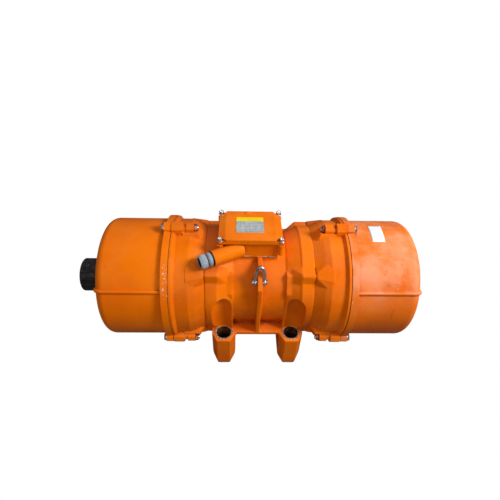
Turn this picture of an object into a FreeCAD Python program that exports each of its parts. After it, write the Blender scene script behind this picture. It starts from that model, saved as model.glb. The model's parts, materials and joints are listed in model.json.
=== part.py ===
import FreeCAD, Part
import math
import os
import Sketcher

# Twin-ended vibration motor.  +X runs along the shaft, +Z is up and the origin
# lies between the four foot bolts, on the face that the feet stand on.

doc = FreeCAD.newDocument("VibrationMotor")
sheet = doc.addObject("Spreadsheet::Sheet", "Sizes")

# driving sizes, millimetres and degrees; x sizes count from the middle of the frame
driving = {
    "axis_height": 168,
    "barrel_radius": 108,
    "collar_radius": 126,
    "flare_radius": 124.5,
    "flare_start": 60,
    "collar_start": 92,
    "frame_half": 120,
    "stator_bore": 92,
    "spigot_radius": 102,
    "spigot_depth": 10,
    "ridge_height": 137,
    "ridge_spread": 31,
    "ridge_root": 100,
    "foot_pitch_x": 160,
    "foot_pitch_y": 235,
    "foot_height": 94.5,
    "foot_hole_radius": 16.5,
    "foot_pad_radius": 22,
    "foot_pad_rise": 1.5,
    "foot_inner": 28,
    "foot_nose": 16,
    "foot_front": 25.5,
    "foot_shoulder": 3,
    "foot_back": 62,
    "web_thick": 9,
    "buttress_inner": 58,
    "buttress_outer": 94,
    "buttress_face": 105,
    "buttress_shoulder": 30,
    "buttress_top": 79,
    "wrench_radius": 20,
    "rib_thick": 10.5,
    "rib_ear": 6,
    "lug_setback": 21.5,
    "lug_drop": 32,
    "lug_hole_radius": 4.2,
    "pad_half_x": 62,
    "pad_half_y": 47,
    "box_offset": -21,
    "box_half_x": 57,
    "box_half_y": 48,
    "box_rise": 37,
    "box_wall": 6,
    "box_floor": 6,
    "gasket_thick": 1.5,
    "lid_half_x": 70,
    "lid_half_y": 53,
    "lid_corner_cut": 18,
    "lid_thick": 7,
    "lid_crown": 4.5,
    "lid_bevel": 15,
    "lid_screw_x": 66,
    "lid_screw_y": 49,
    "lid_boss_radius": 7.5,
    "lid_screw_radius": 3,
    "lid_screw_head": 5,
    "lid_screw_rise": 6,
    "washer_radius": 6,
    "washer_thick": 1.6,
    "terminal_half_x": 30,
    "terminal_half_y": 16,
    "terminal_height": 12,
    "barrier_half_y": 3,
    "barrier_rise": 4,
    "stud_radius": 2.5,
    "stud_pitch_x": 20,
    "stud_row_y": 8,
    "box_boss_lift": 9,
    "spout_angle": 27.5,
    "spout_lift": 19,
    "spout_start_x": 19,
    "spout_start_y": 44,
    "spout_reach": 70,
    "spout_radius": 17,
    "spout_bore": 11.5,
    "gland_seal_thick": 3,
    "gland_body_length": 9,
    "gland_insert_length": 3,
    "gland_nut_length": 15,
    "shield_neck": 124.5,
    "cone_knee": 142,
    "cone_radius": 135.5,
    "rim_start": 155,
    "cover_radius": 140,
    "flange_foot": 184,
    "flange_step": 7.5,
    "flange_start": 190,
    "seal_plane": 195,
    "seal_thick": 1,
    "cover_flange": 15,
    "cover_room": 34,
    "cover_wall": 5,
    "cover_corner": 20,
    "cover_rib_radius": 4.5,
    "ear_lift": 9.5,
    "ear_rise": 11,
    "ear_half": 14,
    "shield_ear_start": 172,
    "boss_start": 146,
    "boss_end": 163,
    "boss_half": 11,
    "boss_rise": 9,
    "cover_bolt_radius": 5,
    "cover_bolt_flats": 17,
    "cover_bolt_head": 6.4,
    "shield_bolt_circle": 119,
    "shield_bolt_radius": 7,
    "shield_bolt_flats": 24,
    "shield_bolt_head": 9,
    "shield_bolt_grip": 20,
    "web_inner": 148,
    "shield_web": 20,
    "hub_radius": 86,
    "hub_rise": 16,
    "bearing_radius": 70,
    "bearing_width": 48,
    "shoulder_depth": 14,
    "race_thick": 8,
    "shaft_seat": 32.5,
    "rollers": 12,
    "bearing_cap_thick": 8,
    "core_half": 88,
    "rotor_radius": 58,
    "air_gap": 0.8,
    "shaft_middle": 45,
    "winding_length": 24,
    "shaft_end_radius": 30,
    "shaft_to_cover": 18,
    "weight_clearance": 12,
    "weight_thick": 56,
    "weight_gap": 3,
    "weight_radius": 125,
    "weight_hub": 52,
    "weight_clamp_radius": 6,
    "collar_thread_radius": 33,
    "cap_radius": 40,
    "cap_gap": 9,
    "cap_length": 60,
    "cap_flutes": 18,
    "shackle_rod": 3.25,
    "shackle_inside": 12,
    "shackle_reach": 33,
    "shackle_eye": 8,
    "shackle_pin_end": 4,
    "shackle_lean": 13,
    "running_fit": 0.05,
    "seat_gap": 0.3,
}
for row, (word, number) in enumerate(driving.items(), start=1):
    sheet.set("A%d" % row, word)
    sheet.set("B%d" % row, str(number))
    sheet.setAlias("B%d" % row, word)
doc.recompute()


class Size:
    """A number together with the sheet formula that it comes from."""

    def __init__(self, value, formula):
        self.value = value
        self.formula = formula

    def __add__(self, other):
        other = sized(other)
        return Size(self.value + other.value, "(%s + %s)" % (self.formula, other.formula))

    def __sub__(self, other):
        other = sized(other)
        return Size(self.value - other.value, "(%s - %s)" % (self.formula, other.formula))

    def __mul__(self, factor):
        factor = sized(factor)
        return Size(self.value * factor.value, "(%s * %s)" % (self.formula, factor.formula))

    def __truediv__(self, factor):
        factor = sized(factor)
        return Size(self.value / factor.value, "(%s / %s)" % (self.formula, factor.formula))

    def __neg__(self):
        return Size(-self.value, "(0 - %s)" % self.formula)

    def __radd__(self, other):
        return sized(other) + self

    def __rsub__(self, other):
        return sized(other) - self

    def __rmul__(self, factor):
        return sized(factor) * self


def sized(number):
    return number if isinstance(number, Size) else Size(number, "(%r)" % float(number))


def root(size):
    return Size(math.sqrt(size.value), "sqrt(%s)" % size.formula)


def cosine(size):
    return Size(math.cos(math.radians(size.value)), "cos(%s * 1 deg)" % size.formula)


def sine(size):
    return Size(math.sin(math.radians(size.value)), "sin(%s * 1 deg)" % size.formula)


class Sizes:
    """Gives each driving size by its name."""

    def __getattr__(self, word):
        return Size(driving[word], "Sizes." + word)


s = Sizes()
nodes = []

# sizes that follow from the driving ones
half_x = s.foot_pitch_x / 2
half_y = s.foot_pitch_y / 2
lug_pin_y = half_y - s.lug_setback
lug_pin_z = s.barrel_radius - s.lug_drop
rib_shoulder = lug_pin_z - s.rib_ear
box_base = s.barrel_radius
box_top = box_base + s.box_rise
spout_rise = box_base + s.spout_lift
flange_radius = s.cover_radius + s.flange_step
ear_circle = s.cover_radius + s.ear_lift
ear_top = ear_circle + s.ear_rise
boss_top = ear_circle + s.boss_rise
bearing_shoulder = s.web_inner - s.shoulder_depth
hub_inner = bearing_shoulder - s.race_thick
web_outer = s.web_inner + s.shield_web
hub_outer = web_outer + s.hub_rise
weight_start = hub_outer + s.bearing_cap_thick + s.weight_clearance
second_weight = weight_start + s.weight_thick + s.weight_gap
cover_end = second_weight + s.weight_thick + s.cover_room
shaft_half = cover_end - s.cover_wall - s.shaft_to_cover
cap_start = cover_end + s.cap_gap
cap_end = cap_start + s.cap_length


def bind(item, **sizes):
    for prop, size in sizes.items():
        item.setExpression(prop, sized(size).formula)


def place(item, x=0, y=0, z=0, turn=None):
    """Puts an object at a bound point, turned by a FreeCAD rotation."""
    item.Placement = FreeCAD.Placement(FreeCAD.Vector(), turn or FreeCAD.Rotation())
    for letter, size in (("x", x), ("y", y), ("z", z)):
        item.setExpression("Placement.Base." + letter, sized(size).formula)


def rotation(axis, angle):
    return FreeCAD.Rotation(FreeCAD.Vector(*axis), angle)


along_x = rotation((0, 1, 0), 90)
along_y = rotation((1, 0, 0), -90)
upright = FreeCAD.Rotation()
facing = {"right": upright, "left": rotation((0, 0, 1), 180)}


def on_axis(item, side="right"):
    """Sets an object that is modelled about the shaft, outboard along +X."""
    place(item, z=s.axis_height, turn=facing[side])


def finish(item, label):
    item.Label = label
    nodes.append(item)
    return item


# ---- sketches and PartDesign features -------------------------------------------------

def new_body(name):
    body = doc.addObject("PartDesign::Body", name)
    body.AllowCompound = True
    return body


def origin_part(body, role):
    return [item for item in body.Origin.OriginFeatures if item.Role == role][0]


def pin_point(sketch, geo, end, x, y):
    """Fixes a point of the sketch at (x, y) from its origin."""
    for kind, own_axis, size in (("DistanceX", -2, sized(x)), ("DistanceY", -1, sized(y))):
        if size.value == 0:
            sketch.addConstraint(Sketcher.Constraint("PointOnObject", geo, end, own_axis))
            continue
        number = sketch.addConstraint(Sketcher.Constraint(kind, -1, 1, geo, end, size.value))
        sketch.setExpression("Constraints[%d]" % number, size.formula)


def draw(body, name, plane, loops=(), circles=(), offset=None):
    """A sketch on one of the body's own planes: closed outlines and circles."""
    sketch = body.newObject("Sketcher::SketchObject", name)
    sketch.AttachmentSupport = [(origin_part(body, plane + "_Plane"), "")]
    sketch.MapMode = "FlatFace"
    if offset is not None:
        sketch.setExpression("AttachmentOffset.Base.z", sized(offset).formula)
    for corners in loops:
        points = [FreeCAD.Vector(sized(x).value, sized(y).value, 0) for x, y in corners]
        first = sketch.GeometryCount
        count = len(points)
        for n in range(count):
            sketch.addGeometry(Part.LineSegment(points[n], points[(n + 1) % count]))
        for n in range(count):
            after = first + (n + 1) % count
            sketch.addConstraint(Sketcher.Constraint("Coincident", first + n, 2, after, 1))
        for n, (x, y) in enumerate(corners):
            pin_point(sketch, first + n, 1, x, y)
    for x, y, radius in circles:
        centre = FreeCAD.Vector(sized(x).value, sized(y).value, 0)
        number = sketch.addGeometry(
            Part.Circle(centre, FreeCAD.Vector(0, 0, 1), sized(radius).value))
        pin_point(sketch, number, 3, x, y)
        size = sketch.addConstraint(
            Sketcher.Constraint("Radius", number, sized(radius).value))
        sketch.setExpression("Constraints[%d]" % size, sized(radius).formula)
    return sketch


def feature(body, kind, name, sketch, length, both=False, back=False):
    item = body.newObject("PartDesign::" + kind, name)
    item.Profile = sketch
    bind(item, Length=length)
    if both:
        item.SideType = "Symmetric"
    item.Reversed = back
    return item


def pad(body, name, sketch, length, both=False, back=False):
    return feature(body, "Pad", name, sketch, length, both, back)


def pocket(body, name, sketch, length, both=False, back=False):
    return feature(body, "Pocket", name, sketch, length, both, back)


def revolve(body, name, sketch, kind="Revolution"):
    item = body.newObject("PartDesign::" + kind, name)
    item.Profile = sketch
    item.ReferenceAxis = (sketch, ["H_Axis"])
    item.Angle = 360
    return item


def turned(name, corners):
    """A ring or shaft turned about X from corners given as (x, radius)."""
    body = new_body(name)
    sketch = draw(body, name + "_profile", "XZ", [corners])
    revolve(body, name + "_turning", sketch)
    return body


def around(body, name, originals, count):
    """Repeats features evenly about X."""
    item = body.newObject("PartDesign::PolarPattern", name)
    item.Originals = originals
    item.Axis = (origin_part(body, "X_Axis"), [""])
    item.Angle = 360
    if isinstance(count, Size):
        bind(item, Occurrences=count)
    else:
        item.Occurrences = count
    body.Tip = item
    return item


def edge_names(item, wanted):
    return ["Edge%d" % (n + 1) for n, edge in enumerate(item.Shape.Edges) if wanted(edge)]


def fillet(body, name, base, radius, wanted, kind="Fillet"):
    """Rounds or chamfers the edges of the last feature that a test picks out."""
    doc.recompute()
    names = edge_names(base, wanted)
    item = body.newObject("PartDesign::" + kind, name)
    item.Base = (base, names)
    bind(item, **{"Radius" if kind == "Fillet" else "Size": radius})
    return item


def circle_edge(x, radius, slack=0.01):
    """Picks the round edge about the shaft at a station and radius."""
    def wanted(edge):
        curve = edge.Curve
        if not isinstance(curve, Part.Circle):
            return False
        return (abs(curve.Center.x - x.value) < slack and abs(curve.Radius - radius.value) < slack
                and math.hypot(curve.Center.y, curve.Center.z) < slack)
    return wanted


# ---- Part primitives ------------------------------------------------------------------

def rod(name, radius, length, x=0, y=0, z=0, turn=upright):
    item = doc.addObject("Part::Cylinder", name)
    bind(item, Radius=radius, Height=length)
    place(item, x, y, z, turn)
    return item


def block(name, length, width, height, x=0, y=0, z=0, turn=upright):
    item = doc.addObject("Part::Box", name)
    bind(item, Length=length, Width=width, Height=height)
    place(item, x, y, z, turn)
    return item


def fuse(name, pieces):
    item = doc.addObject("Part::MultiFuse", name)
    item.Shapes = pieces
    item.Refine = True
    return item


def cut(name, base, tool):
    item = doc.addObject("Part::Cut", name)
    item.Base = base
    item.Tool = tool
    item.Refine = True
    return item


def radial(angle, outward=1):
    """Turns an item so that its Y points away from the shaft and its Z along it."""
    away = FreeCAD.Vector(0, math.cos(math.radians(angle)), math.sin(math.radians(angle)))
    along = FreeCAD.Vector(outward, 0, 0)
    return FreeCAD.Rotation(away.cross(along), away, along, "ZYX")


def roof(name, half, depth, flat, x, angle, outward):
    """A roof-shaped block on the shaft's far side, its crest flat long."""
    item = doc.addObject("Part::Wedge", name)
    bind(item, Xmin=-half, Xmax=half, Ymin=s.ridge_root, Ymax=s.ridge_height, Zmin=0, Zmax=depth,
         X2min=0, X2max=0, Z2min=0, Z2max=flat)
    place(item, x=x, turn=radial(angle, outward))
    return item


def hexagon(x, y, flats):
    """Corners of a hexagon with two flats square to the sketch's second axis."""
    side = flats / math.sqrt(3)
    return [(x - side, y), (x - side / 2, y - flats / 2), (x + side / 2, y - flats / 2),
            (x + side, y), (x + side / 2, y + flats / 2), (x - side / 2, y + flats / 2)]


# ---- frame ------------------------------------------------------------------------------

frame_body = new_body("frame_casting")
barrel = draw(frame_body, "barrel_profile", "XZ", [[
    (-s.frame_half, s.stator_bore), (-s.frame_half, s.collar_radius),
    (-s.collar_start, s.collar_radius), (-s.collar_start, s.flare_radius),
    (-s.flare_start, s.barrel_radius), (s.flare_start, s.barrel_radius),
    (s.collar_start, s.flare_radius), (s.collar_start, s.collar_radius),
    (s.frame_half, s.collar_radius), (s.frame_half, s.stator_bore)]])
revolve(frame_body, "barrel", barrel)


def foot_plan(sign_x, sign_y):
    """A foot seen from above: a bar with its outer corners cut off."""
    shoulder = (half_y + s.foot_shoulder) * sign_y
    nose = (half_y + s.foot_front) * sign_y
    back = s.foot_back * sign_y
    middle = half_x * sign_x
    return [(middle - s.foot_inner, back), (middle + s.foot_inner, back),
            (middle + s.foot_inner, shoulder), (middle + s.foot_nose, nose),
            (middle - s.foot_nose, nose), (middle - s.foot_inner, shoulder)]


quadrants = [(1, 1), (1, -1), (-1, 1), (-1, -1)]
down = -s.axis_height
feet = draw(frame_body, "foot_plans", "XY", [foot_plan(*q) for q in quadrants], offset=down)
pad(frame_body, "feet", feet, s.foot_height)
pads = draw(frame_body, "foot_pads", "XY",
            circles=[(half_x * a, half_y * b, s.foot_pad_radius) for a, b in quadrants],
            offset=down + s.foot_height - s.foot_pad_rise)
pad(frame_body, "foot_seats", pads, s.foot_pad_rise * 2)

web_top = s.foot_height - s.axis_height
web_front = half_y
web_back = s.barrel_radius * 0.6
webs = draw(frame_body, "web_plan", "XY", [[
    (-half_x, web_back * b), (half_x, web_back * b), (half_x, web_front * b),
    (-half_x, web_front * b)] for b in (1, -1)], offset=web_top - s.web_thick)
pad(frame_body, "foot_webs", webs, s.web_thick)


def buttress_outline(b):
    """The upright block over a foot, seen along the shaft."""
    inner = s.barrel_radius * 0.6
    return [(inner * b, web_top - s.web_thick), (s.buttress_face * b, web_top - s.web_thick),
            (s.buttress_face * b, s.buttress_shoulder),
            (s.buttress_top * b, s.buttress_top), (inner * b, s.buttress_top)]


buttress_width = s.buttress_outer - s.buttress_inner
for name, start in (("right", s.buttress_inner), ("left", -s.buttress_outer)):
    outline = draw(frame_body, name + "_buttress_outline", "YZ",
                   [buttress_outline(b) for b in (1, -1)], offset=start)
    pad(frame_body, name + "_buttresses", outline, buttress_width)

rib_slope = box_base - rib_shoulder
rib = draw(frame_body, "rib_outline", "YZ", [[
    (web_back * b, web_top), (web_front * b, web_top), (web_front * b, rib_shoulder),
    (web_front * b - rib_slope * b, box_base), (s.pad_half_y * 0.6 * b, box_base),
    (s.pad_half_y * 0.6 * b, s.buttress_top)] for b in (1, -1)])
pad(frame_body, "lifting_ribs", rib, s.rib_thick, both=True)

saddle = draw(frame_body, "saddle_plan", "XY", [[
    (s.box_offset - s.pad_half_x, -s.pad_half_y), (s.box_offset + s.pad_half_x, -s.pad_half_y),
    (s.box_offset + s.pad_half_x, s.pad_half_y), (s.box_offset - s.pad_half_x, s.pad_half_y)]],
    offset=box_base)
pad(frame_body, "box_saddle", saddle, (box_base - s.stator_bore) * 0.8, back=True)

# four roof-shaped ridges on the diagonals carry the shield bolts at each end
ridge_half = s.ridge_height * 0.36
diagonals = (45, 135, 225, 315)


def diagonal_rods(name, radius, start, end):
    """Four rods along the shaft's direction on the shield bolt circle."""
    rods = []
    for angle in diagonals:
        item = rod("%s_%d" % (name, angle), radius, end - start)
        turn = math.radians(angle)
        place(item, start, s.shield_bolt_circle * math.cos(turn),
              s.shield_bolt_circle * math.sin(turn), along_x)
        rods.append(item)
    return rods


collar_width = s.frame_half - s.collar_start
taper_length = s.collar_start - s.flare_start * 0.8
frame_adds = [frame_body]
frame_cuts = [rod("stator_space", s.stator_bore, s.frame_half * 2, x=-s.frame_half, turn=along_x)]
for side, sign in (("right", 1), ("left", -1)):
    outer = s.frame_half * sign
    for angle in diagonals:
        name = "%s_%d" % (side, angle)
        frame_adds.append(roof("frame_ridge_" + name, ridge_half, collar_width, collar_width,
                               s.collar_start * sign, angle, sign))
        frame_adds.append(roof("frame_taper_" + name, ridge_half, taper_length, 0,
                               s.collar_start * sign, angle, -sign))
    seat_start = outer if sign < 0 else outer - s.spigot_depth
    frame_cuts.append(rod(side + "_spigot_seat", s.spigot_radius + s.running_fit, s.spigot_depth,
                          x=seat_start, turn=along_x))
    threads = (outer - s.shield_bolt_grip, outer) if sign > 0 else (outer, outer + s.shield_bolt_grip)
    frame_cuts += diagonal_rods(side + "_frame_thread", s.shield_bolt_radius + s.running_fit, *threads)

frame_cuts.append(block("saddle_face", s.pad_half_x * 2, s.pad_half_y * 2.2, s.barrel_radius,
                        s.box_offset - s.pad_half_x, -s.pad_half_y * 1.1, box_base))
for n, (a, b) in enumerate(quadrants):
    hole = "foot_%d" % (n + 1)
    frame_cuts.append(rod(hole + "_bolt_hole", s.foot_hole_radius, s.foot_height * 2,
                          half_x * a, half_y * b, down - s.foot_height / 2))
    frame_cuts.append(rod(hole + "_wrench_room", s.wrench_radius + s.foot_pad_rise,
                          s.axis_height * 2, half_x * a, half_y * b, web_top + s.foot_pad_rise))
for b in (1, -1):
    frame_cuts.append(rod("lug_hole_%d" % (b + 2), s.lug_hole_radius, s.rib_thick * 2,
                          -s.rib_thick, lug_pin_y * b, lug_pin_z, turn=along_x))

frame = cut("frame", fuse("frame_metal", frame_adds), fuse("frame_openings", frame_cuts))
on_axis(frame)
finish(frame, "frame_housing")

# ---- stator -----------------------------------------------------------------------------

stator_inner = s.rotor_radius + s.air_gap
stator = turned("stator", [
    (-s.core_half, stator_inner), (-s.core_half, s.stator_bore - s.running_fit),
    (s.core_half, s.stator_bore - s.running_fit), (s.core_half, stator_inner)])
on_axis(stator)
finish(stator, "stator_core")

windings = new_body("windings")
coil_inner = stator_inner + s.race_thick / 2
coil_outer = s.stator_bore - s.race_thick / 2
for side, start in (("right", s.core_half), ("left", -s.core_half - s.winding_length)):
    ring = draw(windings, side + "_coil_plan", "YZ",
                circles=[(0, 0, coil_inner), (0, 0, coil_outer)], offset=start)
    pad(windings, side + "_coil", ring, s.winding_length)
on_axis(windings)
finish(windings, "stator_windings")

# ---- rotor ------------------------------------------------------------------------------

hub_step = s.shaft_seat + s.race_thick / 2
seat_end = bearing_shoulder + s.bearing_width
shaft_steps = [
    (s.core_half, s.shaft_middle), (bearing_shoulder, hub_step),
    (seat_end, s.shaft_seat), (shaft_half, s.shaft_end_radius)]
shaft_outline = [(-shaft_half, 0), (shaft_half, 0)]
for n in range(len(shaft_steps) - 1, -1, -1):
    x, radius = shaft_steps[n]
    shaft_outline.append((x, radius))
    if n > 0:
        shaft_outline.append((shaft_steps[n - 1][0], radius))
for x, radius in [(-x, radius) for x, radius in reversed(shaft_outline[2:])]:
    shaft_outline.append((x, radius))
shaft = turned("shaft", shaft_outline)
on_axis(shaft)
finish(shaft, "rotor_shaft")

rotor = turned("rotor", [
    (-s.core_half, s.shaft_middle + s.running_fit), (-s.core_half, s.rotor_radius),
    (s.core_half, s.rotor_radius), (s.core_half, s.shaft_middle + s.running_fit)])
on_axis(rotor)
finish(rotor, "rotor_core")

end_rings = new_body("end_rings")
for side, start in (("right", s.core_half), ("left", -s.core_half - s.race_thick)):
    ring = draw(end_rings, side + "_ring_plan", "YZ", offset=start, circles=[
        (0, 0, s.rotor_radius - s.race_thick / 2), (0, 0, s.shaft_middle + s.running_fit)])
    pad(end_rings, side + "_ring", ring, s.race_thick)
on_axis(end_rings)
finish(end_rings, "rotor_end_rings")

# ---- the two ends: shield, bearing, weights and cover -------------------------------------

cover_face = s.seal_plane + s.seal_thick
flange_end = cover_face + s.cover_flange
cover_inner = s.cover_radius - s.cover_wall
rim_inner = s.cover_radius - s.cover_wall * 1.2
spigot_inner = s.spigot_radius - s.race_thick
ears = 3
rib_angles = (30, 150, 270)


def ear_outline(half, top):
    """An ear on the rim, seen along the shaft, pointing up."""
    shoulder = top - half * 0.6
    foot = s.cover_radius - s.cover_wall / 2
    return [(-half, foot), (half, foot), (half, shoulder),
            (half * 0.5, top), (-half * 0.5, top), (-half, shoulder)]


def bolt_hole(body, name, face, length):
    plan = draw(body, name + "_plan", "YZ", offset=face,
                circles=[(0, ear_circle, s.cover_bolt_radius + s.running_fit)])
    return pocket(body, name, plan, length)


def end_shield(side):
    """Cast bearing housing: spigot, cone, rim, web and hub with three bolt ears."""
    spigot_end = s.frame_half - s.spigot_depth
    body = turned(side + "_shield", [
        (spigot_end, spigot_inner), (spigot_end, s.spigot_radius),
        (s.frame_half, s.spigot_radius), (s.frame_half, s.shield_neck),
        (s.cone_knee, s.cone_radius), (s.rim_start, s.cover_radius),
        (s.flange_foot, s.cover_radius), (s.flange_start, flange_radius),
        (s.seal_plane, flange_radius), (s.seal_plane, rim_inner),
        (web_outer, rim_inner), (web_outer, s.hub_radius),
        (hub_outer, s.hub_radius), (hub_outer, s.bearing_radius),
        (bearing_shoulder, s.bearing_radius),
        (bearing_shoulder, s.bearing_radius - s.race_thick),
        (hub_inner, s.bearing_radius - s.race_thick), (hub_inner, s.hub_radius),
        (s.web_inner, s.hub_radius), (s.web_inner, spigot_inner)])
    name = side + "_shield_ear"
    plan = draw(body, name + "_plan", "YZ", [ear_outline(s.ear_half, ear_top)],
                offset=s.shield_ear_start)
    ear = pad(body, name, plan, s.seal_plane - s.shield_ear_start)
    plan = draw(body, name + "_boss_plan", "YZ", [ear_outline(s.boss_half, boss_top)],
                offset=s.boss_start)
    boss = pad(body, name + "_boss", plan, s.boss_end - s.boss_start)
    hole = bolt_hole(body, name + "_hole", s.seal_plane, s.seal_plane - s.boss_start + 1)
    around(body, name + "s", [ear, boss, hole], ears)
    ridges = [body]
    holes = []
    for angle in diagonals:
        tag = "%s_%d" % (side, angle)
        length = s.rim_start - s.frame_half
        ridges.append(roof("shield_ridge_" + tag, ridge_half, length, length,
                           s.frame_half, angle, 1))
    metal = fuse(side + "_shield_metal", ridges)
    holes.append(rod(side + "_shield_space", spigot_inner, s.web_inner - spigot_end,
                     x=spigot_end, turn=along_x))
    holes += diagonal_rods(side + "_shield_bolt_hole", s.shield_bolt_radius + s.running_fit,
                           s.frame_half - 1, web_outer)
    hub = turned(side + "_hub", [
        (hub_inner, s.bearing_radius - s.race_thick), (hub_inner, s.hub_radius),
        (web_outer, s.hub_radius), (web_outer, s.bearing_radius),
        (bearing_shoulder, s.bearing_radius),
        (bearing_shoulder, s.bearing_radius - s.race_thick)])
    hollowed = cut(side + "_shield_hollowed", metal, fuse(side + "_shield_holes", holes))
    return fuse(side + "_shield_casting", [hollowed, hub])


def shield_bolts(side):
    """Four bolts on the diagonals, from the web through into the frame's collar."""
    body = new_body(side + "_shield_bolt_set")
    diagonal = s.shield_bolt_circle / math.sqrt(2)
    head_plan = draw(body, side + "_shield_bolt_head_plan", "YZ", offset=web_outer,
                     loops=[hexagon(diagonal, diagonal, s.shield_bolt_flats)])
    head = pad(body, side + "_shield_bolt_head", head_plan, s.shield_bolt_head)
    shank_plan = draw(body, side + "_shield_bolt_shank_plan", "YZ", offset=web_outer,
                      circles=[(diagonal, diagonal, s.shield_bolt_radius)])
    shank = pad(body, side + "_shield_bolt_shank", shank_plan,
                web_outer - s.frame_half + s.shield_bolt_grip, back=True)
    around(body, side + "_shield_bolt_ring", [head, shank], 4)
    return body


def bead(name, angle):
    """A half-round rib along the cover, over its corner and onto its end face."""
    away = FreeCAD.Vector(0, math.cos(math.radians(angle)), math.sin(math.radians(angle)))
    along = FreeCAD.Vector(1, 0, 0)
    corner_x = cover_end - s.cover_corner
    corner_radius = s.cover_radius - s.cover_corner
    tip_radius = corner_radius - s.cover_corner
    start = flange_end - 1
    bar = rod(name + "_bar", s.cover_rib_radius, corner_x - start, start,
              s.cover_radius * away.y, s.cover_radius * away.z, along_x)
    bend = doc.addObject("Part::Torus", name + "_bend")
    bind(bend, Radius1=s.cover_corner, Radius2=s.cover_rib_radius)
    bend.Angle3 = 90
    place(bend, corner_x, corner_radius * away.y, corner_radius * away.z,
          FreeCAD.Rotation(away, along, away.cross(along), "ZXY"))
    spoke = rod(name + "_spoke", s.cover_rib_radius, s.cover_corner, cover_end,
                tip_radius * away.y, tip_radius * away.z,
                FreeCAD.Rotation(FreeCAD.Vector(0, 0, 1), away))
    tip = doc.addObject("Part::Sphere", name + "_tip")
    bind(tip, Radius=s.cover_rib_radius)
    place(tip, cover_end, tip_radius * away.y, tip_radius * away.z)
    return [bar, bend, spoke, tip]


def cover(side):
    """Cup over the eccentric weights, with a flange, three ears and three ribs."""
    centre = s.collar_thread_radius if side == "left" else sized(0)
    body = turned(side + "_cover_shell", [
        (cover_face, cover_inner), (cover_face, flange_radius + 1),
        (flange_end, flange_radius + 1), (flange_end, s.cover_radius),
        (cover_end, s.cover_radius), (cover_end, centre),
        (cover_end - s.cover_wall, centre), (cover_end - s.cover_wall, cover_inner)])
    turning = body.Tip
    rounded = fillet(body, side + "_cover_round", turning, s.cover_corner,
                     circle_edge(cover_end, s.cover_radius))
    fillet(body, side + "_cover_inner_round", rounded, s.cover_corner - s.cover_wall,
           circle_edge(cover_end - s.cover_wall, cover_inner))
    name = side + "_cover_ear"
    plan = draw(body, name + "_plan", "YZ", [ear_outline(s.ear_half * 0.9, ear_top - 1)],
                offset=cover_face)
    ear = pad(body, name, plan, s.cover_flange + 1)
    hole = bolt_hole(body, name + "_hole", flange_end + 1, s.cover_flange + 1)
    around(body, name + "s", [ear, hole], ears)

    beads = []
    for angle in rib_angles:
        beads += bead("%s_bead_%d" % (side, angle), angle)
    return fuse(side + "_cover_cast", [body] + beads)


def ring_of_bolts(side):
    """The three cover bolts, heads outboard, ending past the inner boss."""
    head_face = flange_end + 1
    body = new_body(side + "_cover_bolt_set")
    plan = draw(body, side + "_cover_bolt_head_plan", "YZ", offset=head_face,
                loops=[hexagon(0, ear_circle, s.cover_bolt_flats)])
    head = pad(body, side + "_cover_bolt_head", plan, s.cover_bolt_head)
    plan = draw(body, side + "_cover_bolt_shank_plan", "YZ", offset=head_face,
                circles=[(0, ear_circle, s.cover_bolt_radius)])
    shank = pad(body, side + "_cover_bolt_shank", plan,
                head_face - s.boss_start + s.cover_bolt_radius * 2, back=True)
    around(body, side + "_cover_bolt_ring", [head, shank], ears)
    return body


def ring_of_nuts(side):
    body = new_body(side + "_cover_nut_set")
    plan = draw(body, side + "_cover_nut_plan", "YZ", offset=s.boss_start,
                loops=[hexagon(0, ear_circle, s.cover_bolt_flats)],
                circles=[(0, ear_circle, s.cover_bolt_radius + s.running_fit)])
    nut = pad(body, side + "_cover_nut", plan, s.cover_bolt_radius * 1.6, back=True)
    around(body, side + "_cover_nut_ring", [nut], ears)
    return body


def rollers(side):
    middle = (s.shaft_seat + s.bearing_radius) / 2
    radius = (s.bearing_radius - s.shaft_seat) / 2 - s.race_thick - s.running_fit * 2
    body = new_body(side + "_roller_set")
    margin = s.bearing_width * 0.15
    plan = draw(body, side + "_roller_plan", "YZ", offset=bearing_shoulder + margin,
                circles=[(0, middle, radius)])
    roller = pad(body, side + "_roller", plan, s.bearing_width - margin * 2)
    around(body, side + "_roller_ring", [roller], s.rollers)
    return body


def weight(name, start):
    """Half-disc of steel hanging under a split hub that grips the shaft."""
    disc = rod(name + "_disc", s.weight_radius, s.weight_thick, x=start, turn=along_x)
    upper = block(name + "_upper", s.weight_thick * 2, s.weight_radius * 2.2,
                  s.weight_radius * 1.1, start - s.weight_thick / 2, -s.weight_radius * 1.1, 0)
    half = cut(name + "_half", disc, upper)
    hub = rod(name + "_hub", s.weight_hub, s.weight_thick, x=start, turn=along_x)
    bore = rod(name + "_bore", s.shaft_end_radius + s.running_fit, s.weight_thick,
               x=start, turn=along_x)
    slit = block(name + "_slit", s.weight_thick, s.weight_gap, s.weight_hub,
                 start, -s.weight_gap / 2, s.shaft_end_radius * 0.5)
    screw = rod(name + "_screw_hole", s.weight_clamp_radius + s.running_fit,
                s.weight_hub * 2, start + s.weight_thick / 2, -s.weight_hub,
                (s.shaft_end_radius + s.weight_hub) / 2, along_y)
    metal = fuse(name + "_metal", [half, hub])
    return cut(name + "_steel", metal, fuse(name + "_holes", [bore, slit, screw]))


def clamp_screw(name, start):
    height = (s.shaft_end_radius + s.weight_hub) / 2
    head_radius = s.weight_clamp_radius * 1.5
    seat = height - head_radius
    reach = root(s.weight_hub * s.weight_hub - seat * seat)
    shank = rod(name + "_shank", s.weight_clamp_radius, reach * 2,
                start + s.weight_thick / 2, -reach, height, along_y)
    head = rod(name + "_head", head_radius, s.weight_clamp_radius * 2,
               start + s.weight_thick / 2, -reach - s.weight_clamp_radius * 2, height, along_y)
    return fuse(name + "_screw", [shank, head])


def ring(name, start, length, inner, outer):
    return turned(name, [(start, inner), (start, outer), (start + length, outer),
                         (start + length, inner)])


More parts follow.
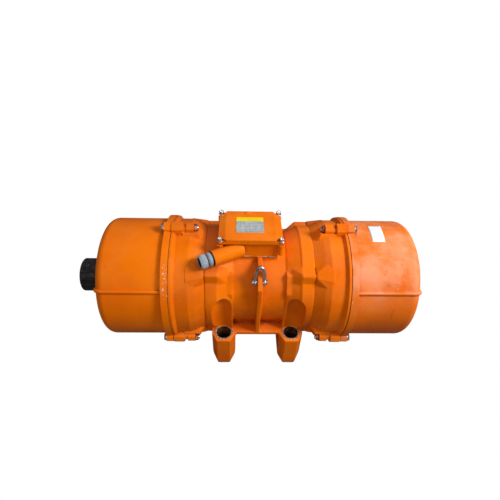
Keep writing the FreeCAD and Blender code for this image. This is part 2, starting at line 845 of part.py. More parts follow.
for side in facing:
    pieces = {
        "end_shield": end_shield(side),
        "shield_bolts": shield_bolts(side),
        "bearing_outer_ring": ring(side + "_outer_race", bearing_shoulder, s.bearing_width,
                                   s.bearing_radius - s.race_thick,
                                   s.bearing_radius - s.running_fit),
        "bearing_rollers": rollers(side),
        "bearing_inner_ring": ring(side + "_inner_race", bearing_shoulder, s.bearing_width,
                                   s.shaft_seat + s.running_fit, s.shaft_seat + s.race_thick),
        "bearing_cap": ring(side + "_cap_plate", hub_outer, s.bearing_cap_thick,
                            s.shaft_end_radius + s.race_thick, s.hub_radius),
        "cover_seal": ring(side + "_seal_ring", s.seal_plane, s.seal_thick,
                           cover_inner, flange_radius - s.seal_thick * 4),
        "cover": cover(side),
        "cover_bolts": ring_of_bolts(side),
        "cover_nuts": ring_of_nuts(side),
        "fixed_weight": weight(side + "_fixed", weight_start),
        "adjustable_weight": weight(side + "_adjustable", second_weight),
        "fixed_clamp_screw": clamp_screw(side + "_fixed", weight_start),
        "adjustable_clamp_screw": clamp_screw(side + "_adjustable", second_weight),
    }
    for word, item in pieces.items():
        on_axis(item, side)
        finish(item, side + "_" + word)

# ---- inspection cap on the left cover ------------------------------------------------------

neck_top = s.collar_thread_radius + s.seal_thick * 3
cap_roof = cap_end - s.cover_wall
neck_end = cap_roof - s.cover_wall
neck = turned("neck", [
    (cover_end - s.cover_wall, s.collar_thread_radius - s.cover_wall),
    (cover_end - s.cover_wall, s.collar_thread_radius - s.running_fit),
    (cover_end, s.collar_thread_radius - s.running_fit), (cover_end, neck_top),
    (neck_end, neck_top), (neck_end, s.collar_thread_radius - s.cover_wall)])
on_axis(neck, "left")
finish(neck, "cap_neck")

cap_seal = ring("cap_seal_ring", cover_end, cap_start - cover_end - s.seat_gap,
                neck_top + s.running_fit, neck_top + s.seal_thick * 2)
on_axis(cap_seal, "left")
finish(cap_seal, "cap_seal")

cap = turned("cap_cup", [
    (cap_start, neck_top + s.seat_gap), (cap_start, s.cap_radius),
    (cap_end, s.cap_radius), (cap_end, 0), (cap_roof, 0),
    (cap_roof, neck_top + s.seat_gap)])
fillet(cap, "cap_edge", cap.Tip, s.cover_wall / 2, circle_edge(cap_end, s.cap_radius))
flute_plan = draw(cap, "flute_plan", "YZ", offset=cap_end,
                  circles=[(0, s.cap_radius + s.seal_thick, s.seal_thick * 2.2)])
flute = pocket(cap, "flute", flute_plan, (cap_end - cap_start) * 0.82)
around(cap, "flutes", [flute], s.cap_flutes)
on_axis(cap, "left")
finish(cap, "inspection_cap")

# ---- terminal box, modelled about the middle of its base ---------------------------------

box_height = box_top - box_base - s.gasket_thick
box_foot = s.axis_height + box_base + s.gasket_thick


def set_on_saddle(item, lift=0):
    place(item, s.box_offset, 0, box_foot + lift)


def centred_block(name, half_x, half_y, height, x=0, y=0, z=0):
    return block(name, sized(half_x) * 2, sized(half_y) * 2, height,
                 sized(x) - half_x, sized(y) - half_y, z)


screw_spots = [(s.lid_screw_x * a, s.lid_screw_y * b) for a, b in quadrants]
bosses = [rod("box_boss_%d" % (n + 1), s.lid_boss_radius, box_height - s.box_boss_lift, x, y,
              s.box_boss_lift) for n, (x, y) in enumerate(screw_spots)]
boss_webs = [centred_block("box_boss_web_%d" % (b + 2), s.lid_screw_x, s.lid_boss_radius * 0.6,
                           box_height - s.box_boss_lift, 0,
                           (s.box_half_y - s.lid_boss_radius * 0.6) * b, s.box_boss_lift)
             for b in (1, -1)]
spout_height = spout_rise - box_base - s.gasket_thick
toward_spout = rotation((0, 0, 1), 180 + driving["spout_angle"]).multiply(along_x)


def along_spout(name, radius, start, length):
    """A rod on the spout's centre line, measured from where the spout begins."""
    angle = s.spout_angle
    return rod(name, radius, length, -s.spout_start_x - cosine(angle) * start,
               -s.spout_start_y - sine(angle) * start, spout_height, toward_spout)


box_metal = fuse("box_metal", [
    centred_block("box_walls", s.box_half_x, s.box_half_y, box_height),
    along_spout("spout", s.spout_radius, 0, s.spout_reach)] + bosses + boss_webs)
box_holes = fuse("box_holes", [
    centred_block("box_room", s.box_half_x - s.box_wall, s.box_half_y - s.box_wall,
                  box_height, z=s.box_floor),
    along_spout("spout_hole", s.spout_bore, 0, s.spout_reach * 2)] + [
    rod("box_screw_hole_%d" % (n + 1), s.lid_screw_radius + s.running_fit, box_height * 0.5,
        x, y, box_height * 0.5) for n, (x, y) in enumerate(screw_spots)])
box = cut("box_casting", box_metal, box_holes)
set_on_saddle(box)
finish(box, "terminal_box")

gasket = fuse("saddle_gasket_sheet", [
    centred_block("saddle_gasket_bar", s.box_half_x, s.pad_half_y - 1, s.gasket_thick),
    centred_block("saddle_gasket_tab", s.box_half_x - 1, s.pad_half_y, s.gasket_thick)])
set_on_saddle(gasket, -s.gasket_thick)
finish(gasket, "saddle_gasket")

lid_gasket = cut("lid_gasket_frame",
                 centred_block("lid_gasket_sheet", s.box_half_x, s.box_half_y, s.gasket_thick),
                 centred_block("lid_gasket_hole", s.box_half_x - s.box_wall,
                               s.box_half_y - s.box_wall, s.gasket_thick))
set_on_saddle(lid_gasket, box_height)
finish(lid_gasket, "lid_gasket")

lid = new_body("lid_casting")
lid_plate = draw(lid, "lid_plan", "XY", [[
    (s.lid_half_x, s.lid_half_y), (-s.lid_half_x, s.lid_half_y),
    (-s.lid_half_x, -s.lid_half_y), (s.lid_half_x, -s.lid_half_y)]])
pad(lid, "lid_plate", lid_plate, s.lid_thick)
crown_x = s.lid_half_x - s.lid_bevel
crown_top = s.lid_thick + s.lid_crown
lid_crown = draw(lid, "lid_crown_side", "XZ", [[
    (-s.lid_half_x, s.lid_thick), (s.lid_half_x, s.lid_thick),
    (crown_x, crown_top), (-crown_x, crown_top)]])
pad(lid, "lid_crown", lid_crown, s.lid_half_y * 2, both=True)
cut_x = s.lid_half_x - s.lid_corner_cut
cut_y = s.lid_half_y - s.lid_corner_cut
past_x = s.lid_half_x + 1
past_y = s.lid_half_y + 1
lid_corners = draw(lid, "lid_corner_plan", "XY", [[
    (past_x * a, cut_y * b), (past_x * a, past_y * b), (cut_x * a, past_y * b),
    (cut_x * a, s.lid_half_y * b), (s.lid_half_x * a, cut_y * b)] for a, b in quadrants],
    offset=crown_top + 1)
pocket(lid, "lid_corners", lid_corners, s.lid_crown + 1)
lid_holes = draw(lid, "lid_hole_plan", "XY", offset=s.lid_thick,
                 circles=[(x, y, s.lid_screw_radius + s.running_fit) for x, y in screw_spots])
pocket(lid, "lid_holes", lid_holes, s.lid_thick)
set_on_saddle(lid, box_height + s.gasket_thick)
finish(lid, "box_lid")

seat = box_height + s.gasket_thick + s.lid_thick
washers = new_body("washers")
washer_plan = draw(washers, "washer_plan", "XY", offset=seat, circles=[
    (x, y, radius) for x, y in screw_spots
    for radius in (s.washer_radius, s.lid_screw_radius + s.running_fit * 4)])
pad(washers, "washer", washer_plan, s.washer_thick)
set_on_saddle(washers)
finish(washers, "lid_washers")

screws = new_body("screws")
head_seat = seat + s.washer_thick
head_plan = draw(screws, "lid_screw_head_plan", "XY", offset=head_seat,
                 circles=[(x, y, s.lid_screw_head) for x, y in screw_spots])
pad(screws, "lid_screw_heads", head_plan, s.lid_screw_rise)
shank_plan = draw(screws, "lid_screw_shank_plan", "XY", offset=head_seat,
                  circles=[(x, y, s.lid_screw_radius) for x, y in screw_spots])
pad(screws, "lid_screw_shanks", shank_plan, box_height * 0.5, back=True)
set_on_saddle(screws)
finish(screws, "lid_screws")

terminals = fuse("terminal_mouldings", [
    centred_block("terminal_base", s.terminal_half_x, s.terminal_half_y, s.terminal_height,
                  z=s.box_floor),
    centred_block("terminal_barrier", s.terminal_half_x - 2, s.barrier_half_y,
                  s.terminal_height + s.barrier_rise, z=s.box_floor)])
set_on_saddle(terminals)
finish(terminals, "terminal_block")

studs = new_body("studs")
stud_plan = draw(studs, "stud_plan", "XY", offset=s.box_floor + s.terminal_height, circles=[
    (s.stud_pitch_x * a, s.stud_row_y * b, s.stud_radius) for a in (-1, 0, 1) for b in (-1, 1)])
pad(studs, "stud_rods", stud_plan, s.terminal_height)
set_on_saddle(studs)
finish(studs, "terminal_studs")

# ---- cable gland on the end of the spout -----------------------------------------------------

gland_steps = (("gland_seal", s.spout_radius - 1, s.gland_seal_thick),
               ("gland_body", s.spout_radius - 2, s.gland_body_length),
               ("gland_insert", s.spout_radius - 4, s.gland_insert_length),
               ("gland_nut", s.spout_radius - 1.5, s.gland_nut_length))
reach = s.spout_reach
for word, radius, length in gland_steps:
    piece = cut(word + "_ring", along_spout(word + "_bar", radius, reach, length),
                along_spout(word + "_bore", s.spout_bore, reach, length))
    set_on_saddle(piece)
    finish(piece, word)
    reach = reach + length

# ---- lifting shackles ---------------------------------------------------------------------

half_gap = (s.shackle_inside + s.shackle_rod * 2) / 2
straight = s.shackle_reach - half_gap - s.shackle_rod
for word, sign, lean in (("front", -1, -s.shackle_lean), ("rear", 1, s.shackle_lean)):
    legs = [rod("%s_leg_%d" % (word, a + 2), s.shackle_rod, straight, half_gap * a)
            for a in (1, -1)]
    eyes = [rod("%s_eye_%d" % (word, a + 2), s.shackle_eye, s.shackle_rod * 2.3,
                half_gap * a - s.shackle_rod * 1.15, turn=along_x) for a in (1, -1)]
    crown = doc.addObject("Part::Torus", word + "_crown")
    bind(crown, Radius1=half_gap, Radius2=s.shackle_rod)
    crown.Angle3 = 180
    place(crown, z=straight, turn=rotation((1, 0, 0), 90))
    hole = rod(word + "_eye_hole", s.lug_hole_radius, half_gap * 4, x=-half_gap * 2, turn=along_x)
    bow = cut(word + "_bow", fuse(word + "_bow_metal", legs + eyes + [crown]), hole)
    pin_x = lug_pin_y * sign
    pin_z = s.axis_height + lug_pin_z
    place(bow, 0, pin_x, pin_z, rotation((1, 0, 0), lean.value))
    finish(bow, word + "_shackle_bow")
    pin_radius = s.lug_hole_radius - 0.1
    outside = half_gap + s.shackle_rod * 1.15
    pin = fuse(word + "_pin", [
        rod(word + "_pin_bar", pin_radius, outside * 2 + s.shackle_pin_end, x=-outside,
            turn=along_x),
        rod(word + "_pin_head", s.shackle_eye * 0.8, s.shackle_pin_end,
            x=-outside - s.shackle_pin_end, turn=along_x)])
    place(pin, 0, pin_x, pin_z)
    finish(pin, word + "_shackle_pin")

# ---- export ---------------------------------------------------------------------------------

doc.recompute()
for item in doc.Objects:
    trouble = [state for state in item.State if state in ("Invalid", "Error")]
    if trouble:
        raise RuntimeError("%s is %s: %s" % (item.Name, trouble, item.getStatusString()))
os.makedirs("parts", exist_ok=True)
for item in nodes:
    shape = item.Shape
    if shape.isNull() or not shape.isValid():
        raise RuntimeError("%s has a bad shape" % item.Label)
for item in nodes:
    item.Shape.exportStep("parts/%s.step" % item.Label)
    print("%-30s %2d solids %12.0f mm3" % (item.Label, len(item.Shape.Solids), item.Shape.Volume))
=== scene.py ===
import json
import math
import random

import bmesh
import bpy
from mathutils import Matrix, Vector


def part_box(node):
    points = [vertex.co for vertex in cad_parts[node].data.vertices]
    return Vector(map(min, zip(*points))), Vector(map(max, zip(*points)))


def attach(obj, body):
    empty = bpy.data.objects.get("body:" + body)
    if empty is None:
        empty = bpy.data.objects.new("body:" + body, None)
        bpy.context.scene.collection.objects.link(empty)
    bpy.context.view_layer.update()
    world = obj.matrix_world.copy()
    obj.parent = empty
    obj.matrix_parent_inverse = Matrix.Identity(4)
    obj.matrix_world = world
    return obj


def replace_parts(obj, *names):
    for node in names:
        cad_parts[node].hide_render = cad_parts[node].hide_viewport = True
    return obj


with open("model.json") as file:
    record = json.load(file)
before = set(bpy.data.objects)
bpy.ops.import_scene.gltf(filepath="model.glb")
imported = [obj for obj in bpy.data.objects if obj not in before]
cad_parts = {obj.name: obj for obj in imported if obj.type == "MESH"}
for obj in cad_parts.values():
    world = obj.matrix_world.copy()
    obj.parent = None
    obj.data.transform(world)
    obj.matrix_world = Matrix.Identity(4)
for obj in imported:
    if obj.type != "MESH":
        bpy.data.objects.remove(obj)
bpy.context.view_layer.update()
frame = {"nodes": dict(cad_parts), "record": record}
nodes = frame["nodes"]
mm = 0.001
print("frame loaded, %d nodes" % len(nodes))

# camera, lamps and room

view = {
    "spot": (-0.04769, -0.65939, 0.83189),
    "tilt": (48.72322, -1.64133, -0.9626),
    "lens": 26.91834,
    "sensor": 36,
}


def makeCamera():
    data = bpy.data.cameras.new("viewCamera")
    data.lens = view["lens"]
    data.sensor_width = view["sensor"]
    camera = bpy.data.objects.new("viewCamera", data)
    bpy.context.collection.objects.link(camera)
    camera.location = view["spot"]
    camera.rotation_euler = [math.radians(a) for a in view["tilt"]]
    bpy.context.scene.camera = camera


lamps = {
    "key": {"place": (1.0, -0.38, 1.15), "power": 20, "size": 0.45},
    "fill": {"place": (-0.3, -1.15, 0.85), "power": 2.6, "size": 0.7},
}
aim = Vector((0, 0, 0.17))  # both lamps look at the middle of the motor


def makeLamps():
    for name, spec in lamps.items():
        data = bpy.data.lights.new(name + "Lamp", "AREA")
        data.energy = spec["power"]
        data.size = spec["size"]
        lamp = bpy.data.objects.new(name + "Lamp", data)
        bpy.context.collection.objects.link(lamp)
        lamp.location = spec["place"]
        lamp.rotation_euler = (Vector(spec["place"]) - aim).to_track_quat("Z", "Y").to_euler()


# the glow rises from below to above between the two heights; shine is its share in reflections
sky = {"above": 0.44, "below": 0.02, "from": -0.35, "to": 0.9, "shine": 0.5,
       "tone": (1, 0.985, 0.96, 1)}


def makeWorld():
    world = bpy.data.worlds.new("studioWorld")
    bpy.context.scene.world = world
    world.use_nodes = True
    tree = world.node_tree
    tree.nodes.clear()

    def level(operation, first, second):
        node = tree.nodes.new("ShaderNodeMath")
        node.operation = operation
        for socket, value in zip(node.inputs, (first, second)):
            if isinstance(value, bpy.types.NodeSocket):
                tree.links.new(value, socket)
            else:
                socket.default_value = value
        return node.outputs[0]

    out = tree.nodes.new("ShaderNodeOutputWorld")
    glow = tree.nodes.new("ShaderNodeBackground")
    glow.inputs["Color"].default_value = sky["tone"]
    coords = tree.nodes.new("ShaderNodeTexCoord")
    parts = tree.nodes.new("ShaderNodeSeparateXYZ")
    tree.links.new(coords.outputs["Generated"], parts.inputs[0])
    rise = tree.nodes.new("ShaderNodeMapRange")
    rise.inputs["From Min"].default_value = sky["from"]
    rise.inputs["From Max"].default_value = sky["to"]
    rise.inputs["To Min"].default_value = sky["below"]
    rise.inputs["To Max"].default_value = sky["above"]
    tree.links.new(parts.outputs[2], rise.inputs["Value"])
    path = tree.nodes.new("ShaderNodeLightPath")
    dull = level("SUBTRACT", 1.0, level("MULTIPLY", path.outputs["Is Glossy Ray"],
                                        1 - sky["shine"]))
    tree.links.new(level("MULTIPLY", rise.outputs["Result"], dull), glow.inputs["Strength"])
    white = tree.nodes.new("ShaderNodeBackground")
    white.inputs["Color"].default_value = (1, 1, 1, 1)
    white.inputs["Strength"].default_value = 1
    mix = tree.nodes.new("ShaderNodeMixShader")
    tree.links.new(path.outputs["Is Camera Ray"], mix.inputs["Fac"])
    tree.links.new(glow.outputs[0], mix.inputs[1])
    tree.links.new(white.outputs[0], mix.inputs[2])
    tree.links.new(mix.outputs[0], out.inputs["Surface"])


studio = {"reach": 3, "tone": (0.12, 0.115, 0.11, 1), "rough": 0.9}


def makeFloor():
    mesh = bpy.data.meshes.new("studioFloor")
    reach = studio["reach"]
    mesh.from_pydata([(-reach, -reach, 0), (reach, -reach, 0), (reach, reach, 0),
                      (-reach, reach, 0)], [], [(0, 1, 2, 3)])
    floor = bpy.data.objects.new("studioFloor", mesh)
    bpy.context.collection.objects.link(floor)
    paint = bpy.data.materials.new("shadeFloor")
    paint.use_nodes = True
    tree = paint.node_tree
    shader = tree.nodes["Principled BSDF"]
    shader.inputs["Base Color"].default_value = studio["tone"]
    shader.inputs["Roughness"].default_value = studio["rough"]
    clear = tree.nodes.new("ShaderNodeBsdfTransparent")
    path = tree.nodes.new("ShaderNodeLightPath")
    mix = tree.nodes.new("ShaderNodeMixShader")
    tree.links.new(path.outputs["Is Camera Ray"], mix.inputs["Fac"])
    tree.links.new(shader.outputs[0], mix.inputs[1])
    tree.links.new(clear.outputs[0], mix.inputs[2])
    tree.links.new(mix.outputs[0], tree.nodes["Material Output"].inputs["Surface"])
    floor.data.materials.append(paint)


makeCamera()
makeLamps()
makeWorld()
makeFloor()
bpy.context.scene.view_settings.view_transform = "Standard"
print("camera, lamps and room made")


# Paint wires one procedural material; its methods return sockets
class Paint:
    def __init__(self, name):
        self.material = bpy.data.materials.new(name)
        self.material.use_nodes = True
        self.tree = self.material.node_tree
        self.shader = self.tree.nodes["Principled BSDF"]
        self.spot = self.add("ShaderNodeTexCoord").outputs["Object"]

    def add(self, kind, **settings):
        node = self.tree.nodes.new(kind)
        for word, value in settings.items():
            setattr(node, word, value)
        return node

    def put(self, socket, value):
        if isinstance(value, bpy.types.NodeSocket):
            self.tree.links.new(value, socket)
        elif isinstance(value, (tuple, list)) and socket.type == "RGBA":
            socket.default_value = tuple(value)[:3] + (1,)
        else:
            socket.default_value = value

    def math(self, kind, a, b=0.0):
        node = self.add("ShaderNodeMath", operation=kind)
        self.put(node.inputs[0], a)
        self.put(node.inputs[1], b)
        return node.outputs[0]

    def times(self, *parts):
        result = parts[0]
        for part in parts[1:]:
            result = self.math("MULTIPLY", result, part)
        return result

    def stretch(self, scale, turn=(0, 0, 0)):
        node = self.add("ShaderNodeMapping")
        self.put(node.inputs["Vector"], self.spot)
        node.inputs["Scale"].default_value = scale
        node.inputs["Rotation"].default_value = turn
        return node.outputs[0]

    def noise(self, scale, detail=3, rough=0.5, where=None):
        node = self.add("ShaderNodeTexNoise")
        self.put(node.inputs["Vector"], where or self.spot)
        node.inputs["Scale"].default_value = scale
        node.inputs["Detail"].default_value = detail
        node.inputs["Roughness"].default_value = rough
        return node.outputs[0]

    def cells(self, scale):
        node = self.add("ShaderNodeTexVoronoi")
        self.put(node.inputs["Vector"], self.spot)
        node.inputs["Scale"].default_value = scale
        return node.outputs["Distance"]

    def ramp(self, value, low, high):
        node = self.add("ShaderNodeMapRange", interpolation_type="SMOOTHSTEP")
        self.put(node.inputs["Value"], value)
        node.inputs["From Min"].default_value = low
        node.inputs["From Max"].default_value = high
        return node.outputs["Result"]

    def blend(self, share, under, over):
        node = self.add("ShaderNodeMix", data_type="RGBA")
        self.put(node.inputs[0], share)
        self.put(node.inputs[6], under)
        self.put(node.inputs[7], over)
        return node.outputs[2]

    def level(self, share, under, over):
        node = self.add("ShaderNodeMix", data_type="FLOAT")
        self.put(node.inputs[0], share)
        self.put(node.inputs[2], under)
        self.put(node.inputs[3], over)
        return node.outputs[0]

    def normal(self):
        return self.add("ShaderNodeNewGeometry").outputs["Normal"]

    def axes(self, vector):
        node = self.add("ShaderNodeSeparateXYZ")
        self.put(node.inputs[0], vector)
        return node.outputs

    def rounded(self, radius):
        node = self.add("ShaderNodeBevel", samples=4)
        node.inputs["Radius"].default_value = radius
        return node.outputs[0]

    def within(self, low, high):
        soft = 1 * mm
        share = 1.0
        for out, start, end in zip(self.axes(self.spot), low, high):
            share = self.times(share, self.ramp(out, start - soft, start + soft),
                               self.ramp(out, end + soft, end - soft))
        return share

    def edges(self, radius):
        dot = self.add("ShaderNodeVectorMath", operation="DOT_PRODUCT")
        self.put(dot.inputs[0], self.rounded(radius))
        self.put(dot.inputs[1], self.normal())
        return self.ramp(self.math("SUBTRACT", 1.0, dot.outputs["Value"]), 0.02, 0.2)

    # painted shade: a mask that darkens hollows, read from ambient occlusion
    def occlusionShade(self, reach):
        node = self.add("ShaderNodeAmbientOcclusion", samples=4)
        node.inputs["Distance"].default_value = reach
        return self.ramp(node.outputs["AO"], 0.85, 0.35)

    def bump(self, height, strength, distance, under=None):
        node = self.add("ShaderNodeBump")
        node.inputs["Strength"].default_value = strength
        node.inputs["Distance"].default_value = distance
        self.put(node.inputs["Height"], height)
        if under is not None:
            self.put(node.inputs["Normal"], under)
        return node.outputs[0]

    def finish(self, colour, rough, normal=None, metal=0.0, gloss=0.5, tint=None):
        self.put(self.shader.inputs["Base Color"], colour)
        self.put(self.shader.inputs["Roughness"], rough)
        self.put(self.shader.inputs["Metallic"], metal)
        self.put(self.shader.inputs["Specular IOR Level"], gloss)
        if tint is not None:
            self.put(self.shader.inputs["Specular Tint"], tint)
        if normal is not None:
            self.put(self.shader.inputs["Normal"], normal)
        return self.material


def wear(node, material):
    worn = nodes[node]
    if not worn.material_slots:
        worn.data.materials.append(material)
    for slot in worn.material_slots:
        slot.material = material


# enamels: light and dark tone, size of the mottle, cast grain, and how worn each one is

enamels = {
    "frameEnamel": {
        "light": (0.92, 0.19, 0.001), "dark": (0.74, 0.125, 0.001), "mottle": 9,
        "cast": 0.35, "rough": 0.36, "gloss": 0.2, "dust": 0.10, "grime": 0.55, "chips": 0.735,
        "holes": {"x": 0.080, "y": 0.1175, "radius": 0.0165, "ring": 0.0218, "top": 0.096},
    },
    "boxEnamel": {
        "light": (0.95, 0.215, 0.001), "dark": (0.84, 0.155, 0.001), "mottle": 14,
        "cast": 0.16, "rough": 0.33, "gloss": 0.2, "dust": 0.06, "grime": 0.35, "chips": 0.76,
    },
    # painted light: a brighter copy of the orange enamel for the left cover and cap neck, standing
    # in for the stronger light falling on them
    "leftPaintedLightEnamel": {
        "light": (1.0, 0.212, 0.001), "dark": (0.88, 0.158, 0.001), "mottle": 8,
        "cast": 0.20, "rough": 0.34, "gloss": 0.18, "dust": 0.05, "grime": 0.35, "chips": 0.745,
        "bitten": ((-0.2068, -0.145, 0.234), (-0.1952, -0.080, 0.288)),
    },
    # the right cover's large dust share is dust and a painted pinkish sheen on its upper faces
    "rightEnamel": {
        "light": (0.80, 0.165, 0.008), "dark": (0.66, 0.12, 0.006), "mottle": 8,
        "cast": 0.26, "rough": 0.46, "gloss": 0.16, "dust": 0.85, "grime": 1.3, "chips": 0.72,
    },
}
tones = {
    "dust": (0.78, 0.31, 0.17), "grime": (0.16, 0.045, 0.008), "primer": (0.72, 0.66, 0.60),
    "creviceShade": (0.20, 0.030, 0.002), "edgeRubAndHighlight": (1.0, 0.30, 0.03), "shine": (1.0, 0.5, 0.16),
    "steel": ((0.13, 0.085, 0.05), (0.40, 0.34, 0.27)),
    "boreBrown": ((0.035, 0.017, 0.009), (0.12, 0.05, 0.02)),
}


# the seat around each foot hole is rubbed to steel, and the bore is painted dark brown
def rubbedHoles(p, colour, holes):
    x, y, z = p.axes(p.spot)
    across = p.math("SUBTRACT", p.math("ABSOLUTE", x), holes["x"])
    along = p.math("SUBTRACT", p.math("ABSOLUTE", y), holes["y"])
    away = p.math("SQRT", p.math("ADD", p.times(across, across), p.times(along, along)))
    away = p.math("ADD", away, p.times(p.math("SUBTRACT", p.noise(130, 3), 0.5), 4 * mm))
    ring, radius, top = holes["ring"], holes["radius"], holes["top"]
    rubbed = p.times(p.ramp(away, ring + 0.8 * mm, ring - 0.8 * mm),
                     p.ramp(z, top - 1.2 * mm, top - 0.2 * mm),
                     p.ramp(z, top + 1.6 * mm, top + 0.8 * mm), 0.92)
    steel = p.blend(p.ramp(p.noise(260, 3), 0.4, 0.62), *tones["steel"])
    colour = p.blend(rubbed, colour, steel)
    inside = p.times(p.ramp(away, radius + 1.2 * mm, radius + 0.2 * mm),
                     p.ramp(z, top + 1 * mm, top - 1 * mm), p.ramp(z, 2 * mm, 5 * mm))
    boreBrown = p.blend(p.ramp(p.noise(90, 3), 0.4, 0.6), *tones["boreBrown"])
    return p.blend(inside, colour, boreBrown)


def enamel(name, look):
    p = Paint(name)
    broad = p.noise(look["mottle"], 4, 0.6)
    fine = p.noise(90, 3)
    colour = p.blend(p.ramp(broad, 0.3, 0.7), look["dark"], look["light"])
    colour = p.blend(p.times(p.ramp(fine, 0.35, 0.75), 0.18), colour, look["dark"])
    # dust on upward faces; where its share is large, as on the right cover, it is also a painted
    # pinkish sheen
    lying = p.axes(p.normal())[2]
    dustAndSheen = p.times(p.ramp(lying, 0.05, 0.85), p.ramp(p.noise(14, 5, 0.65), 0.32, 0.66),
                      look["dust"])
    colour = p.blend(dustAndSheen, colour, tones["dust"])
    # grime gathers in streaks and small flecks
    streak = p.ramp(p.noise(1, 4, 0.6, p.stretch((60, 60, 9))), 0.60, 0.78)
    fleck = p.ramp(p.cells(170), 0.16, 0.05)
    sparse = p.ramp(p.noise(33, 2), 0.60, 0.68)
    dirt = p.math("MAXIMUM", p.times(streak, 0.30), p.times(fleck, sparse, 0.8))
    colour = p.blend(p.times(dirt, look["grime"]), colour, tones["grime"])
    # painted shade: hollows and inner corners are darkened from ambient occlusion
    creviceShade = p.times(p.occlusionShade(14 * mm), p.ramp(p.noise(55, 4, 0.6), 0.2, 0.6), 0.75)
    colour = p.blend(creviceShade, colour, tones["creviceShade"])
    # thin scratches that show a paler film
    line = p.noise(1, 2, 0.5, p.stretch((28, 260, 900), (0.4, 0.9, 0.3)))
    scratch = p.times(p.ramp(p.math("ABSOLUTE", p.math("SUBTRACT", line, 0.5)), 0.006, 0.0),
                      p.ramp(p.noise(20, 2), 0.55, 0.66), 0.35)
    colour = p.blend(scratch, colour, tones["dust"])
    # chips down to the primer, mostly on edges
    edge = p.edges(1.6 * mm)
    flaky = p.noise(210, 3, 0.6)
    chip = p.math("MAXIMUM", p.ramp(flaky, look["chips"], look["chips"] + 0.01),
                  p.times(edge, p.ramp(flaky, 0.64, 0.66)))
    if "bitten" in look:
        low, high = look["bitten"]
        chip = p.math("MAXIMUM", chip, p.times(p.within(low, high), p.ramp(flaky, 0.60, 0.615)))
    colour = p.blend(chip, colour, tones["primer"])
    # edge wear and painted highlight: every edge is lightened towards a brighter orange
    colour = p.blend(p.times(edge, 0.22), colour, tones["edgeRubAndHighlight"])
    if "holes" in look:
        colour = rubbedHoles(p, colour, look["holes"])
    rough = p.level(dustAndSheen, p.level(p.ramp(fine, 0.3, 0.7), look["rough"] - 0.05,
                                     look["rough"] + 0.08), 0.62)
    skin = p.math("ADD", p.times(p.noise(420, 3, 0.55), 0.35), p.noise(120, 2))
    normal = p.bump(skin, look["cast"], 0.35 * mm, p.rounded(1.3 * mm))
    normal = p.bump(chip, 0.5, -0.15 * mm, normal)
    return p.finish(colour, rough, normal, gloss=look["gloss"], tint=tones["shine"])


paints = {name: enamel(name, look) for name, look in enamels.items()}
print("enamels mixed")


# bare metals and mouldings
def metal(name, light, dark, rough, grain=400, tarnish=0.3, smear=(1, 1, 1)):
    p = Paint(name)
    cloud = p.noise(60, 4, 0.6)
    brushed = p.noise(1, 3, 0.6, p.stretch(tuple(grain * s for s in smear)))
    colour = p.blend(p.ramp(cloud, 0.35, 0.7), light, dark)
    colour = p.blend(p.times(p.ramp(p.noise(180, 3), 0.55, 0.75), tarnish), colour,
                     (0.10, 0.075, 0.05))
    level = p.level(p.ramp(brushed, 0.3, 0.7), rough - 0.07, rough + 0.1)
    normal = p.bump(brushed, 0.2, 0.08 * mm, p.rounded(0.4 * mm))
    return p.finish(colour, level, normal, metal=1.0)


def moulding(name, light, dark, rough, bead=500, gloss=0.25):
    p = Paint(name)
    colour = p.blend(p.ramp(p.noise(70, 3), 0.35, 0.7), light, dark)
    dusty = p.times(p.ramp(p.axes(p.normal())[2], 0.2, 0.9), p.ramp(p.noise(120, 4), 0.45, 0.7),
                    0.12)
    colour = p.blend(dusty, colour, (0.45, 0.38, 0.32))
    level = p.level(p.noise(200, 2), rough - 0.06, rough + 0.08)
    normal = p.bump(p.noise(bead, 2), 0.12, 0.1 * mm, p.rounded(0.5 * mm))
    return p.finish(colour, level, normal, gloss=gloss)


def smearedSealant():
    p = Paint("sealant")
    colour = p.blend(p.ramp(p.noise(70, 4, 0.6), 0.42, 0.56), (0.66, 0.15, 0.004),
                     (0.42, 0.38, 0.32))
    colour = p.blend(p.ramp(p.noise(190, 3), 0.58, 0.66), colour, (0.09, 0.05, 0.03))
    return p.finish(colour, 0.6, p.bump(p.noise(260, 3), 0.6, 0.5 * mm), gloss=0.2)


